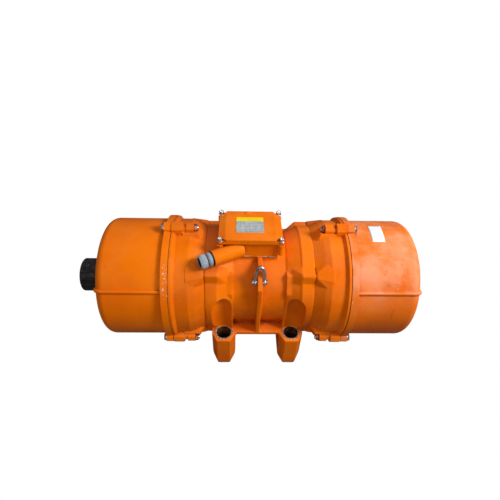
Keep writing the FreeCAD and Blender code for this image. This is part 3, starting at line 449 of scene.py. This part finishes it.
paints.update({
    "zinc": metal("zinc", (0.80, 0.80, 0.79), (0.60, 0.60, 0.60), 0.30),
    "galvanised": metal("galvanised", (0.66, 0.66, 0.66), (0.42, 0.42, 0.43), 0.38, 250, 0.5),
    "bareSteel": metal("bareSteel", (0.56, 0.56, 0.57), (0.44, 0.44, 0.45), 0.28, 700, 0.15,
                       (1, 0.05, 0.05)),
    "rolledSteel": metal("rolledSteel", (0.24, 0.24, 0.25), (0.13, 0.13, 0.14), 0.5, 200, 0.4),
    "bearing": metal("bearing", (0.78, 0.78, 0.80), (0.66, 0.66, 0.68), 0.16, 900, 0.03),
    "laminate": metal("laminate", (0.33, 0.33, 0.34), (0.22, 0.22, 0.23), 0.45, 2200, 0.2,
                      (1, 0.02, 0.02)),
    "cage": metal("cage", (0.74, 0.74, 0.75), (0.62, 0.62, 0.63), 0.38),
    "brass": metal("brass", (0.80, 0.58, 0.24), (0.62, 0.42, 0.16), 0.28),
    "rustyNut": metal("rustyNut", (0.62, 0.30, 0.20), (0.42, 0.12, 0.06), 0.42, 300, 0.6),
    "winding": moulding("winding", (0.50, 0.19, 0.06), (0.34, 0.11, 0.03), 0.3, 900),
    "blackCap": moulding("blackCap", (0.014, 0.014, 0.015), (0.008, 0.008, 0.009), 0.3,
                         gloss=0.5),
    "greyNylon": moulding("greyNylon", (0.38, 0.44, 0.50), (0.30, 0.35, 0.41), 0.42),
    "rubber": moulding("rubber", (0.022, 0.022, 0.023), (0.013, 0.013, 0.014), 0.6),
    "gasket": moulding("gasket", (0.34, 0.33, 0.31), (0.24, 0.23, 0.21), 0.75),
    "sealant": smearedSealant(),
    "phenolic": moulding("phenolic", (0.11, 0.075, 0.05), (0.07, 0.05, 0.035), 0.35),
})
slotPaint = {
    "bright_zinc": "zinc", "galvanised": "galvanised", "black_plastic": "blackCap",
    "grey_nylon": "greyNylon", "seal_rubber": "rubber", "gasket_sheet": "gasket",
    "bare_steel": "bareSteel", "bearing_steel": "bearing", "lamination": "laminate",
    "copper_winding": "winding", "aluminium_cage": "cage", "weight_steel": "rolledSteel",
    "terminal_moulding": "phenolic", "brass_stud": "brass",
}
for part in frame["record"]["subparts"]:
    word = part["node"]
    if part["material_slot"] == "orange_paint":
        if word.startswith("right_cover"):
            pick = "rightEnamel"
        elif word.startswith("left_cover") or word == "cap_neck":
            # the left cover and cap neck take the enamel that is painted lighter as painted light
            pick = "leftPaintedLightEnamel"
        elif word in ("terminal_box", "box_lid"):
            pick = "boxEnamel"
        else:
            pick = "frameEnamel"
    else:
        pick = slotPaint[part["material_slot"]]
    wear(word, paints[pick])
print("CAD nodes painted")


# helpers that build and place the pieces; lengths are in millimetres, and rows run along x

spin = next(j for j in frame["record"]["behaviour"]["joints"] if j["name"] == "rotor_spin")
axisZ = spin["pos_m"][2]
axisUp = axisZ / mm
core = 0.01  # a closed profile starts just off its own axis
upward = Matrix.Rotation(math.radians(-90), 4, "Y")
onAxis = Matrix.Translation((0, 0, axisZ))


def piece(name, bm, material, body, smooth=None):
    mesh = bpy.data.meshes.new(name)
    bmesh.ops.recalc_face_normals(bm, faces=bm.faces)
    bm.to_mesh(mesh)
    bm.free()
    made = bpy.data.objects.new(name, mesh)
    bpy.context.collection.objects.link(made)
    if smooth is not None:
        mesh.shade_smooth()
        mesh.set_sharp_from_angle(angle=math.radians(smooth))
    if material is not None:
        mesh.materials.append(material)
    if body is not None:
        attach(made, body)
    return made


def hull(bm, points):
    verts = [bm.verts.new(Vector(p) * mm) for p in points]
    bmesh.ops.convex_hull(bm, input=verts)
    loose = [v for v in verts if v.is_valid and not v.link_faces]
    bmesh.ops.delete(bm, geom=loose, context="VERTS")


def lathe(bm, profile, segments, place, wave=None):
    spokes = []
    for n in range(segments):
        turn = 2 * math.pi * n / segments
        spoke = []
        for k, (x, radius) in enumerate(profile):
            r = radius + (wave(turn, k) if wave else 0)
            point = Vector((x, r * math.cos(turn), r * math.sin(turn))) * mm
            spoke.append(bm.verts.new(place @ point))
        spokes.append(spoke)
    for n in range(segments):
        here, there = spokes[n], spokes[(n + 1) % segments]
        for k in range(len(profile)):
            after = (k + 1) % len(profile)
            bm.faces.new((here[k], here[after], there[after], there[k]))


def joinRings(bm, rings):
    count = len(rings[0])
    for near, far in zip(rings, rings[1:]):
        for n in range(count):
            after = (n + 1) % count
            bm.faces.new((near[n], near[after], far[after], far[n]))
    bm.faces.new(rings[0])
    bm.faces.new(rings[-1])


def plug(bm, rows, place, segments=40):
    rings = []
    for x, radius in rows:
        ring = []
        for n in range(segments):
            turn = 2 * math.pi * n / segments
            point = Vector((x, radius * math.cos(turn), radius * math.sin(turn))) * mm
            ring.append(bm.verts.new(place @ point))
        rings.append(ring)
    joinRings(bm, rings)


def facing(direction, spot):
    turn = Vector(direction).normalized().to_track_quat("X", "Z").to_matrix().to_4x4()
    return Matrix.Translation(Vector(spot)) @ turn


def aroundAxis(angle, sign):
    out = Vector((0, math.cos(math.radians(angle)), math.sin(math.radians(angle))))
    over = Vector((0, -out.z, out.y))

    def at(x, reach, aside):
        point = out * reach + over * aside
        return (x * sign, point.y, point.z + axisUp)
    return at


def settle(made, kind, **settings):
    mod = made.modifiers.new(kind.lower(), kind)
    for word, value in settings.items():
        setattr(mod, word, value)


def bake(made):
    graph = bpy.context.evaluated_depsgraph_get()
    mesh = bpy.data.meshes.new_from_object(made.evaluated_get(graph))
    made.modifiers.clear()
    made.data = mesh


# one box for each separate solid of a node, told apart by the reach on each axis
def gather(node, reach):
    found = []
    for v in nodes[node].data.vertices:
        for low, high in found:
            if all(low[i] - reach[i] < v.co[i] < high[i] + reach[i] for i in range(3)):
                for i in range(3):
                    low[i] = min(low[i], v.co[i])
                    high[i] = max(high[i], v.co[i])
                break
        else:
            found.append((v.co.copy(), v.co.copy()))
    return found


# frame casting: heights in foot and hole, and the foot of the groove, are from the floor, those of
# the pad from the top of the foot, and the others from the axis

casting = {
    "barrel": [(-120, 96), (-120, 126), (-92, 126), (-92, 124.2), (-60.5, 110), (-60, 108),
               (60, 108), (60.5, 110), (92, 124.2), (92, 126), (120, 126), (120, 96)],
    "foot": {"x": 80, "y": 117.5, "top": 94.5, "inner": 28, "nose": 16, "front": 25.5,
             "shoulder": 3, "back": 62,
             # height and how far the outline draws in there
             "rows": [(0, 5.5), (2.5, 3.6), (7, 2), (14, 0.9), (26, 0.3), (94.5, 0)]},
    "pad": {"radius": 22, "rise": 1.5, "sunk": 9, "bevel": 0.5},
    "hole": {"radius": 16.5, "below": -20, "edge": 94.4, "end": 96.6, "flare": 1.2},
    "web": {"front": 117.5, "back": 66, "thick": 9, "sunk": 3},
    "buttress": {"inner": 59, "outer": 94, "face": 106, "shoulder": 46, "top": 84, "root": 66,
                 "flare": 3, "sunk": 6},
    # each groove step: drop from its top and how much narrower it is there
    "groove": {"radius": 24, "out": 7.4, "foot": 97, "top": 40,
               "steps": [(26, 0), (13, 2.5), (4, 8), (0, 14)]},
    "rib": {"half": 5.25, "shoulder": 70, "top": 108, "back": 28, "under": 80},
    "ribHole": {"radius": 4.2, "half": 20, "y": 96, "z": 76},
    "saddle": {"x": -21, "halfX": 62, "halfY": 47, "under": 95, "top": 108},
    "ridge": {"root": 98, "half": 50, "crest": 136.5, "flat": 3, "near": 92, "far": 120,
              "tip": (59, 107), "toe": (59, 100), "toeHalf": 25},
    "bore": {"radius": 92, "half": 130},
    "skin": {"voxel": 1.5, "ease": 4, "keep": 0.3, "crease": 50},
}
corners = [(a, b) for a in (1, -1) for b in (1, -1)]


def footPlan(inset, a, b):
    f = casting["foot"]
    shoulder = f["y"] + f["shoulder"] - inset * 0.5
    nose = f["y"] + f["front"] - inset * 0.6
    wide = f["inner"] - inset * 1.2
    slim = f["nose"] - inset * 0.5
    back = f["back"] + inset
    outline = ((-wide, back), (wide, back), (wide, shoulder), (slim, nose), (-slim, nose),
               (-wide, shoulder))
    return [(f["x"] * a + x, y * b) for x, y in outline]


def addFeet(bm):
    f, pad, t = casting["foot"], casting["pad"], casting["buttress"]
    padProfile = [(-pad["sunk"], core), (-pad["sunk"], pad["radius"]),
                  (pad["rise"] - pad["bevel"], pad["radius"]),
                  (pad["rise"], pad["radius"] - 2 * pad["bevel"]), (pad["rise"], core)]
    low = f["top"] - axisUp - t["sunk"]
    side = [(t["root"], low), (t["face"] + t["flare"], low), (t["face"], t["shoulder"]),
            (t["top"], t["top"]), (t["root"], t["top"])]
    for a, b in corners:
        hull(bm, [(x, y, z) for z, inset in f["rows"] for x, y in footPlan(inset, a, b)])
        spot = Matrix.Translation(Vector((f["x"] * a, f["y"] * b, f["top"])) * mm)
        lathe(bm, padProfile, 48, spot @ upward)
        hull(bm, [(x * a, y * b, z + axisUp) for x in (t["inner"], t["outer"]) for y, z in side])


def addWebsAndRibs(bm):
    f, w, r, s = casting["foot"], casting["web"], casting["rib"], casting["saddle"]
    low = f["top"] - axisUp - w["sunk"]
    slope = r["top"] - r["shoulder"]
    side = [(w["back"], low), (w["front"], low), (w["front"], r["shoulder"]),
            (w["front"] - slope, r["top"]), (r["back"], r["top"]), (r["back"], r["under"])]
    for b in (1, -1):
        hull(bm, [(x, y * b, z) for x in (-f["x"], f["x"]) for y in (w["back"], w["front"])
                  for z in (f["top"] - w["thick"], f["top"])])
        hull(bm, [(x, y * b, z + axisUp) for x in (-r["half"], r["half"]) for y, z in side])
    hull(bm, [(s["x"] + x, y, z + axisUp) for x in (-s["halfX"], s["halfX"])
              for y in (-s["halfY"], s["halfY"]) for z in (s["under"], s["top"])])


def addRidges(bm):
    r = casting["ridge"]
    section = ((r["root"], r["half"]), (r["root"], -r["half"]), (r["crest"], r["flat"]),
               (r["crest"], -r["flat"]))
    for angle in (45, 135, 225, 315):
        for a in (1, -1):
            at = aroundAxis(angle, a)
            band = [at(x, reach, aside) for x in (r["near"], r["far"])
                    for reach, aside in section]
            hull(bm, band)
            hull(bm, band[:4] + [at(*r["tip"], 0), at(*r["toe"], r["toeHalf"]),
                                 at(*r["toe"], -r["toeHalf"])])


def castingCuts():
    f, h, g = casting["foot"], casting["hole"], casting["groove"]
    lug, bore = casting["ribHole"], casting["bore"]
    hole = [(h["below"], h["radius"]), (h["edge"], h["radius"]),
            (h["end"], h["radius"] + h["flare"])]
    groove = [(g["foot"], g["radius"] + 1)]
    groove += [(axisUp + g["top"] - drop, g["radius"] - less) for drop, less in g["steps"]]
    cuts = bmesh.new()
    for a in (1, -1):
        for b in (1, -1):
            here = Vector((f["x"] * a, f["y"] * b, 0)) * mm
            plug(cuts, hole, Matrix.Translation(here) @ upward)
            aside = Vector((0, g["out"] * b, 0)) * mm
            plug(cuts, groove, Matrix.Translation(here + aside) @ upward)
        plug(cuts, [(-lug["half"], lug["radius"]), (lug["half"], lug["radius"])],
             Matrix.Translation((0, lug["y"] * a * mm, axisZ + lug["z"] * mm)))
    plug(cuts, [(-bore["half"], bore["radius"]), (bore["half"], bore["radius"])], onAxis, 96)
    return piece("cutter", cuts, None, None)


def frameCasting():
    bm = bmesh.new()
    lathe(bm, casting["barrel"], 96, onAxis)
    addFeet(bm)
    addWebsAndRibs(bm)
    addRidges(bm)
    made = piece("frameCasting", bm, None, None)
    cuts = castingCuts()
    skin = casting["skin"]
    settle(made, "BOOLEAN", operation="DIFFERENCE", object=cuts, solver="EXACT", use_self=True)
    settle(made, "REMESH", mode="VOXEL", voxel_size=skin["voxel"] * mm, use_smooth_shade=True)
    settle(made, "SMOOTH", factor=0.5, iterations=skin["ease"])
    settle(made, "DECIMATE", ratio=skin["keep"])
    bake(made)
    bpy.data.objects.remove(cuts)
    made.data.materials.clear()
    made.data.materials.append(paints["frameEnamel"])
    made.data.shade_smooth()
    made.data.set_sharp_from_angle(angle=math.radians(skin["crease"]))
    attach(made, "frame")
    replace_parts(made, "frame_housing")
    print("frame casting made, %d faces" % len(made.data.polygons))


frameCasting()


# ears and ridges of the end shields; rows are x, reach from the axis and half width, and a
# section leaves out the x

shieldArms = {
    "block": {"ends": (170, 193), "section": ((134, 14.5), (153.5, 11.5), (158.5, 7.5))},
    "neck": {"ends": (149, 172), "section": ((130, 13), (150.2, 10), (155.2, 6))},
    "ramp": ((172, 122, 26), (172, 145, 14), (136, 144, 12), (134, 122, 22), (124, 127, 10),
             (124, 115, 20)),
    "ridge": ((121.5, 137.4, 5), (121.5, 100, 46), (161, 141, 13), (161, 132, 42)),
    "armBevel": 1.3, "ridgeBevel": 3,
}


def mirrored(bm, at, shape):
    hull(bm, [at(x, reach, half * way) for way in (1, -1) for x, reach, half in shape])


def dressShield(side, sign):
    arms, ridges = bmesh.new(), bmesh.new()
    for angle in (90, 210, 330):
        at = aroundAxis(angle, sign)
        for word in ("block", "neck"):
            form = shieldArms[word]
            hull(arms, [at(x, reach, half * way) for x in form["ends"] for way in (1, -1)
                        for reach, half in form["section"]])
        mirrored(arms, at, shieldArms["ramp"])
    for angle in (45, 135, 225, 315):
        mirrored(ridges, aroundAxis(angle, sign), shieldArms["ridge"])
    for name, bm, bevel in (("EarArms", arms, shieldArms["armBevel"]),
                            ("ShieldRidges", ridges, shieldArms["ridgeBevel"])):
        made = piece(side + name, bm, paints["frameEnamel"], "frame")
        settle(made, "BEVEL", width=bevel * mm, segments=3, limit_method="ANGLE")


dressShield("left", -1)
dressShield("right", 1)
print("ears and ridges made")


# cover bolts and nuts

bolt = {
    "headFlats": 16, "head": 6.4, "washer": 1.6, "washerRadius": 10, "washerBore": 5.2,
    "radius": 5, "pitch": 1.5, "crest": 0.45, "lead": 0.8, "nut": 7, "nutFlats": 14.5,
    "chamfer": 0.9,
    # degrees, and degrees for each millimetre across, so that no two stand alike
    "headTurn": (17, 40), "nutTurn": (11, 30),
}


def hexHead(bm, flats, height, place):
    corner = flats / math.sqrt(3)
    chamfer = bolt["chamfer"]
    plug(bm, [(0, corner - 0.3), (0.4, corner), (height - chamfer, corner),
              (height, corner - chamfer * 1.4)], place, 6)


def thread(bm, length, place):
    radius, rise = bolt["radius"], bolt["pitch"] * bolt["crest"]
    profile = [(0, core)]
    x = 0
    while x < length - bolt["pitch"]:
        profile += [(x, radius - rise), (x + rise, radius)]
        x += bolt["pitch"]
    profile += [(length - bolt["lead"], radius - 0.2), (length, radius - 1), (length, core)]
    lathe(bm, profile, 24, place)


def coverBolts(side, sign):
    heads, nuts = bmesh.new(), bmesh.new()
    washer = [(0, bolt["washerBore"]), (0, bolt["washerRadius"]),
              (bolt["washer"], bolt["washerRadius"]), (bolt["washer"], bolt["washerBore"])]
    for low, high in gather(side + "_cover_bolts", (0.2, 0.02, 0.02)):
        y, z = (low.y + high.y) / 2, (low.z + high.z) / 2
        outer, inner = (high.x, low.x) if sign > 0 else (low.x, high.x)
        seat = outer - sign * bolt["head"] * mm
        place = facing((sign, 0, 0), (seat, y, z))
        start, each = bolt["headTurn"]
        turn = Matrix.Rotation(math.radians(start + each * y / mm), 4, "X")
        lathe(heads, washer, 32, place)
        hexHead(heads, bolt["headFlats"], bolt["head"], place @ turn)
        thread(heads, abs(outer - inner) / mm - bolt["head"],
               facing((-sign, 0, 0), (seat, y, z)))
    for low, high in gather(side + "_cover_nuts", (0.02, 0.02, 0.02)):
        y, z = (low.y + high.y) / 2, (low.z + high.z) / 2
        place = facing((-sign, 0, 0), (high.x if sign > 0 else low.x, y, z))
        start, each = bolt["nutTurn"]
        turn = Matrix.Rotation(math.radians(start + each * z / mm), 4, "X")
        hexHead(nuts, bolt["nutFlats"], bolt["nut"], place @ turn)
    made = piece(side + "BoltHeads", heads, paints["zinc"], "frame", 35)
    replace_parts(made, side + "_cover_bolts")
    made = piece(side + "BoltNuts", nuts, paints["rustyNut"], "frame", 35)
    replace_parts(made, side + "_cover_nuts")


coverBolts("left", -1)
coverBolts("right", 1)
print("cover bolts made")


# socket screws and washers of the lid

screw = {
    "foot": 4.7, "radius": 5, "rim": 4.2, "height": 6, "lip": 3.0, "socket": 2.9, "deep": 3.2,
    "knurls": 30, "knurl": 0.16,
    "washer": [(0, 3.3), (0, 6.4), (0.7, 6.4), (0.8, 5.4), (1.6, 5.3), (1.6, 3.3)],
}


# rows 2 and 3 of the head carry the knurl, rows 5 and 6 the six sides of the socket
def screwWave(turn, row):
    if row in (5, 6):
        flat = turn % (math.pi / 3) - math.pi / 6
        return screw["socket"] / math.cos(flat) - screw["socket"]
    if row in (2, 3):
        return screw["knurl"] * math.cos(turn * screw["knurls"])
    return 0


def lidScrews():
    heads, washers = bmesh.new(), bmesh.new()
    height = screw["height"]
    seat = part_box("lid_screws")[1].z - height * mm
    head = [(0, core), (0, screw["foot"]), (0.5, screw["radius"]), (height - 0.9, screw["radius"]),
            (height, screw["rim"]), (height, screw["lip"]),
            (height - screw["deep"], screw["socket"]), (height - screw["deep"], core)]
    for low, high in gather("lid_washers", (0.008, 0.008, 0.008)):
        x, y = (low.x + high.x) / 2, (low.y + high.y) / 2
        lathe(heads, head, 120, facing((0, 0, 1), (x, y, seat)), screwWave)
        lathe(washers, screw["washer"], 40, facing((0, 0, 1), (x, y, low.z)))
    made = piece("lidScrewHeads", heads, paints["zinc"], "frame", 40)
    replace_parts(made, "lid_screws")
    made = piece("lidWasherRings", washers, paints["zinc"], "frame", 40)
    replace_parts(made, "lid_washers")


lidScrews()
print("lid screws made")


# shackle bows; each row of the leg is x, height above the pin and share of the wire's thickness,
# for a bow as high as the crown

shackle = {
    "wire": 4.1, "rise": 14, "sides": 12, "crown": 43.5, "crownSize": 1.1,
    "leg": [(9.4, 2, 1.0), (9.8, 14, 1.0), (9.4, 27, 1.04), (7.0, 37, 1.08), (3.6, 42, 1.1)],
    "eye": {"radius": 8, "bore": 4.4, "half": 3.25, "bevel": 0.8},
}


def bowRings(bm, pin, along, crown):
    share = crown / shackle["crown"]
    leg = [(x, reach * share, size) for x, reach, size in shackle["leg"]]
    path = leg + [(0, crown, shackle["crownSize"])]
    path += [(-x, reach, size) for x, reach, size in reversed(leg)]
    across = Vector((1, 0, 0))
    aside = across.cross(along)
    rings = []
    for k, (x, reach, size) in enumerate(path):
        here = pin + across * x * mm + along * reach * mm
        before, after = path[max(k - 1, 0)], path[min(k + 1, len(path) - 1)]
        run = (across * (after[0] - before[0]) + along * (after[1] - before[1])).normalized()
        over = run.cross(aside)
        ring = []
        for n in range(shackle["sides"]):
            turn = 2 * math.pi * n / shackle["sides"]
            rim = aside * math.cos(turn) + over * math.sin(turn)
            ring.append(bm.verts.new(here + rim * shackle["wire"] * size * mm))
        rings.append(ring)
    joinRings(bm, rings)


def shackleBow(end):
    low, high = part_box(end + "_shackle_pin")
    below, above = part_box(end + "_shackle_bow")
    pin = (low + high) / 2
    pin.x = (below.x + above.x) / 2
    along = (below + above) / 2 - pin
    along.x = 0
    along.normalize()
    tall = max((v.co - pin).dot(along) for v in nodes[end + "_shackle_bow"].data.vertices) / mm
    bm = bmesh.new()
    bowRings(bm, pin, along, tall + shackle["rise"] - shackle["wire"])
    eye = shackle["eye"]
    half, radius, bevel = eye["half"], eye["radius"], eye["bevel"]
    profile = [(-half, eye["bore"]), (-half, radius - bevel), (-half + bevel, radius),
               (half - bevel, radius), (half, radius - bevel), (half, eye["bore"])]
    for way in (1, -1):
        middle = pin + Vector((shackle["leg"][0][0] * way * mm, 0, 0))
        lathe(bm, profile, 28, Matrix.Translation(middle))
    made = piece(end + "Bow", bm, paints["galvanised"], end + "_shackle", 60)
    settle(made, "SUBSURF", levels=1, render_levels=1)
    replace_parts(made, end + "_shackle_bow")


shackleBow("front")
shackleBow("rear")
print("shackle bows bent")


# cable gland; each profile is distance from the end of the spout and radius

gland = {
    "start": (-40, -44, 295), "angle": 27.5, "reach": 70,
    "ribs": 20, "ribDepth": 0.55, "ribFloor": -0.6,
    "ring": [(3.2, 11.5), (3.2, 14.6), (3.8, 15.2), (9.6, 15.2), (10.4, 14.6), (10.4, 13.4),
             (12, 13.2), (12, 11.5)],
    "collar": [(11.8, 11.5), (11.8, 12.8), (15.2, 12.8), (15.2, 11.5)],
    "capNut": [(14.6, 11.5), (14.6, 14.0), (15.4, 14.9), (24.8, 14.6), (26.2, 13.9),
               (28.4, 12.9), (29.6, 12.4), (29.9, 11.9), (28.8, 11.5)],
    "sleeve": [(14, 9.2), (14, 11.45), (29.0, 11.45), (29.0, 9.6)],
}


# rows 2 to 4 of the cap nut carry its ribs
def nutRibs(turn, row):
    if 2 <= row <= 4:
        return gland["ribDepth"] * max(gland["ribFloor"], math.cos(turn * gland["ribs"]))
    return 0


def glandPiece(name, profile, paint, segments, wave=None):
    turn = math.radians(gland["angle"])
    away = Vector((-math.cos(turn), -math.sin(turn), 0))
    place = facing(away, Vector(gland["start"]) * mm + away * gland["reach"] * mm)
    bm = bmesh.new()
    lathe(bm, gland[profile], segments, place, wave)
    made = piece(name, bm, paints[paint], "frame", 40)
    return made


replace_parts(glandPiece("glandRing", "ring", "greyNylon", 160), "gland_body")
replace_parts(glandPiece("glandCollar", "collar", "rubber", 160), "gland_insert")
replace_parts(glandPiece("glandCapNut", "capNut", "greyNylon", 160, nutRibs),
            "gland_nut")
glandPiece("glandSleeve", "sleeve", "rubber", 64)
print("gland made")


# ruled plate on the lid and label on the right cover, both bare of writing; the label has the x of
# its two ends at the top and bottom edge, and its angles are around the axis

plate = {
    "low": (-52.5, -26), "high": (8.5, 29.2), "band": 14.2, "thick": 0.7, "sunk": 0.2,
    "corner": 2, "bevel": 0.2,
    "rows": {"pitch": 5.6, "gap": (0.22, 0.34), "grain": (420, 90, 1), "breaks": (0.42, 0.5)},
    "grey": ((0.40, 0.43, 0.44), (0.52, 0.55, 0.56)), "line": (0.12, 0.15, 0.19),
    "yellow": ((0.86, 0.62, 0.0), (0.93, 0.72, 0.01)), "speck": (0.25, 0.2, 0.15),
}
label = {
    "top": (252.8, 283.0), "bottom": (250.6, 279.4), "from": 78.4, "to": 102.6,
    "radius": 140.25, "thick": 0.18, "steps": 12, "columns": 8,
    "rows": {"pitch": 4.2, "gap": (0.25, 0.36), "grain": (300, 60, 60), "breaks": (0.40, 0.46)},
    "white": ((0.84, 0.85, 0.86), (0.92, 0.92, 0.93)), "line": (0.30, 0.40, 0.50),
    "scuff": (0.62, 0.42, 0.30),
}


def brokenRows(p, rows):
    place = p.math("FRACT", p.math("MULTIPLY", p.axes(p.spot)[1], 1 / (rows["pitch"] * mm)))
    solid = p.ramp(p.math("ABSOLUTE", p.math("SUBTRACT", place, 0.5)), *rows["gap"])
    return p.times(solid, p.ramp(p.noise(1, 2, 0.5, p.stretch(rows["grain"])),
                                 *rows["breaks"]))


def plateSheet():
    p = Paint("plateSheet")
    edge = plate["band"] * mm
    band = p.ramp(p.axes(p.spot)[1], edge - 0.1 * mm, edge + 0.1 * mm)
    grey = p.blend(p.ramp(p.noise(45, 4), 0.3, 0.7), *plate["grey"])
    grey = p.blend(p.times(brokenRows(p, plate["rows"]), 0.6), grey, plate["line"])
    yellow = p.blend(p.ramp(p.noise(60, 3), 0.35, 0.7), *plate["yellow"])
    colour = p.blend(band, grey, yellow)
    specks = p.times(p.ramp(p.noise(520, 2), 0.68, 0.72), 0.5)
    colour = p.blend(specks, colour, plate["speck"])
    normal = p.bump(p.noise(600), 0.1, 0.05 * mm)
    return p.finish(colour, p.level(p.noise(90, 2), 0.32, 0.5), normal, gloss=0.4)


def lidPlate():
    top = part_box("box_lid")[1].z / mm
    (x0, y0), (x1, y1), r = plate["low"], plate["high"], plate["corner"]
    points = []
    for cx, cy, start in ((x1 - r, y1 - r, 0), (x0 + r, y1 - r, 90), (x0 + r, y0 + r, 180),
                          (x1 - r, y0 + r, 270)):
        for k in range(5):
            turn = math.radians(start + 22.5 * k)
            for z in (-plate["sunk"], plate["thick"]):
                points.append((cx + r * math.cos(turn), cy + r * math.sin(turn), top + z))
    bm = bmesh.new()
    hull(bm, points)
    made = piece("lidPlate", bm, plateSheet(), "frame")
    settle(made, "BEVEL", width=plate["bevel"] * mm, segments=2, limit_method="ANGLE")


def labelSheet():
    p = Paint("labelSheet")
    white = p.blend(p.ramp(p.noise(50, 4), 0.35, 0.7), *label["white"])
    colour = p.blend(p.times(brokenRows(p, label["rows"]), 0.45), white, label["line"])
    scuff = p.times(p.ramp(p.noise(160, 4, 0.7), 0.62, 0.70), 0.4)
    colour = p.blend(scuff, colour, label["scuff"])
    normal = p.bump(p.noise(300), 0.15, 0.1 * mm)
    return p.finish(colour, p.level(p.noise(90, 2), 0.35, 0.55), normal, gloss=0.4)


def coverLabel():
    bm = bmesh.new()
    steps, columns, radius = label["steps"], label["columns"], label["radius"]
    grid = []
    for i in range(steps + 1):
        share = i / steps
        turn = math.radians(label["from"] + (label["to"] - label["from"]) * share)
        left, right = (low + (high - low) * share
                       for low, high in zip(label["bottom"], label["top"]))
        row = []
        for k in range(columns + 1):
            point = (left + (right - left) * k / columns, -radius * math.cos(turn),
                     radius * math.sin(turn) + axisUp)
            row.append(bm.verts.new(Vector(point) * mm))
        grid.append(row)
    for i in range(steps):
        for k in range(columns):
            bm.faces.new((grid[i][k], grid[i][k + 1], grid[i + 1][k + 1], grid[i + 1][k]))
    made = piece("coverLabel", bm, labelSheet(), "frame", 60)
    settle(made, "SOLIDIFY", thickness=label["thick"] * mm, offset=1)


lidPlate()
coverLabel()
print("plate and label laid")


# rounded boss behind the lid, and the sealant squeezed out under the box

boss = {"x": -26, "y": 47, "sunk": 3.6, "half": (10.5, 5, 7)}
sealant = {"thick": 1.25, "clear": 0.9, "wander": 0.3, "lift": 0.4, "swell": (0.75, 1.25),
           "alongSteps": 26, "acrossSteps": 20, "seed": 4}


def rearBump():
    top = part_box("box_lid")[1].z / mm
    place = Matrix.Translation(Vector((boss["x"], boss["y"], top - boss["sunk"])) * mm)
    bm = bmesh.new()
    bmesh.ops.create_uvsphere(bm, u_segments=32, v_segments=16, radius=mm,
                              matrix=place @ Matrix.Diagonal(boss["half"] + (1,)))
    made = piece("rearBump", bm, paints["boxEnamel"], "frame", 60)


def sealantPath():
    low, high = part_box("saddle_gasket")
    clear, wander, lift = (sealant[word] * mm for word in ("clear", "wander", "lift"))
    y0, y1 = low.y - clear, high.y + clear
    turns = [(low.x, y0), (high.x, y0), (high.x, y1), (low.x, y1)]
    points = []
    for n, (ax, ay) in enumerate(turns):
        bx, by = turns[(n + 1) % 4]
        count = sealant["acrossSteps"] if n % 2 else sealant["alongSteps"]
        for k in range(count):
            share = k / count
            points.append((ax + (bx - ax) * share + random.uniform(-wander, wander),
                           ay + (by - ay) * share + random.uniform(-wander, wander),
                           (low.z + high.z) / 2 + random.uniform(-lift, lift)))
    return points


def sealantBead():
    random.seed(sealant["seed"])
    points = sealantPath()
    curve = bpy.data.curves.new("sealantBead", "CURVE")
    curve.dimensions = "3D"
    curve.bevel_depth = sealant["thick"] * mm
    curve.bevel_resolution = 3
    spline = curve.splines.new("NURBS")
    spline.points.add(len(points) - 1)
    for spot, point in zip(spline.points, points):
        spot.co = point + (1,)
        spot.radius = random.uniform(*sealant["swell"])
    spline.use_cyclic_u = True
    spline.order_u = 3
    made = bpy.data.objects.new("sealantBead", curve)
    bpy.context.collection.objects.link(made)
    curve.materials.append(paints["sealant"])
    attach(made, "frame")


rearBump()
sealantBead()
print("boss and sealant made")
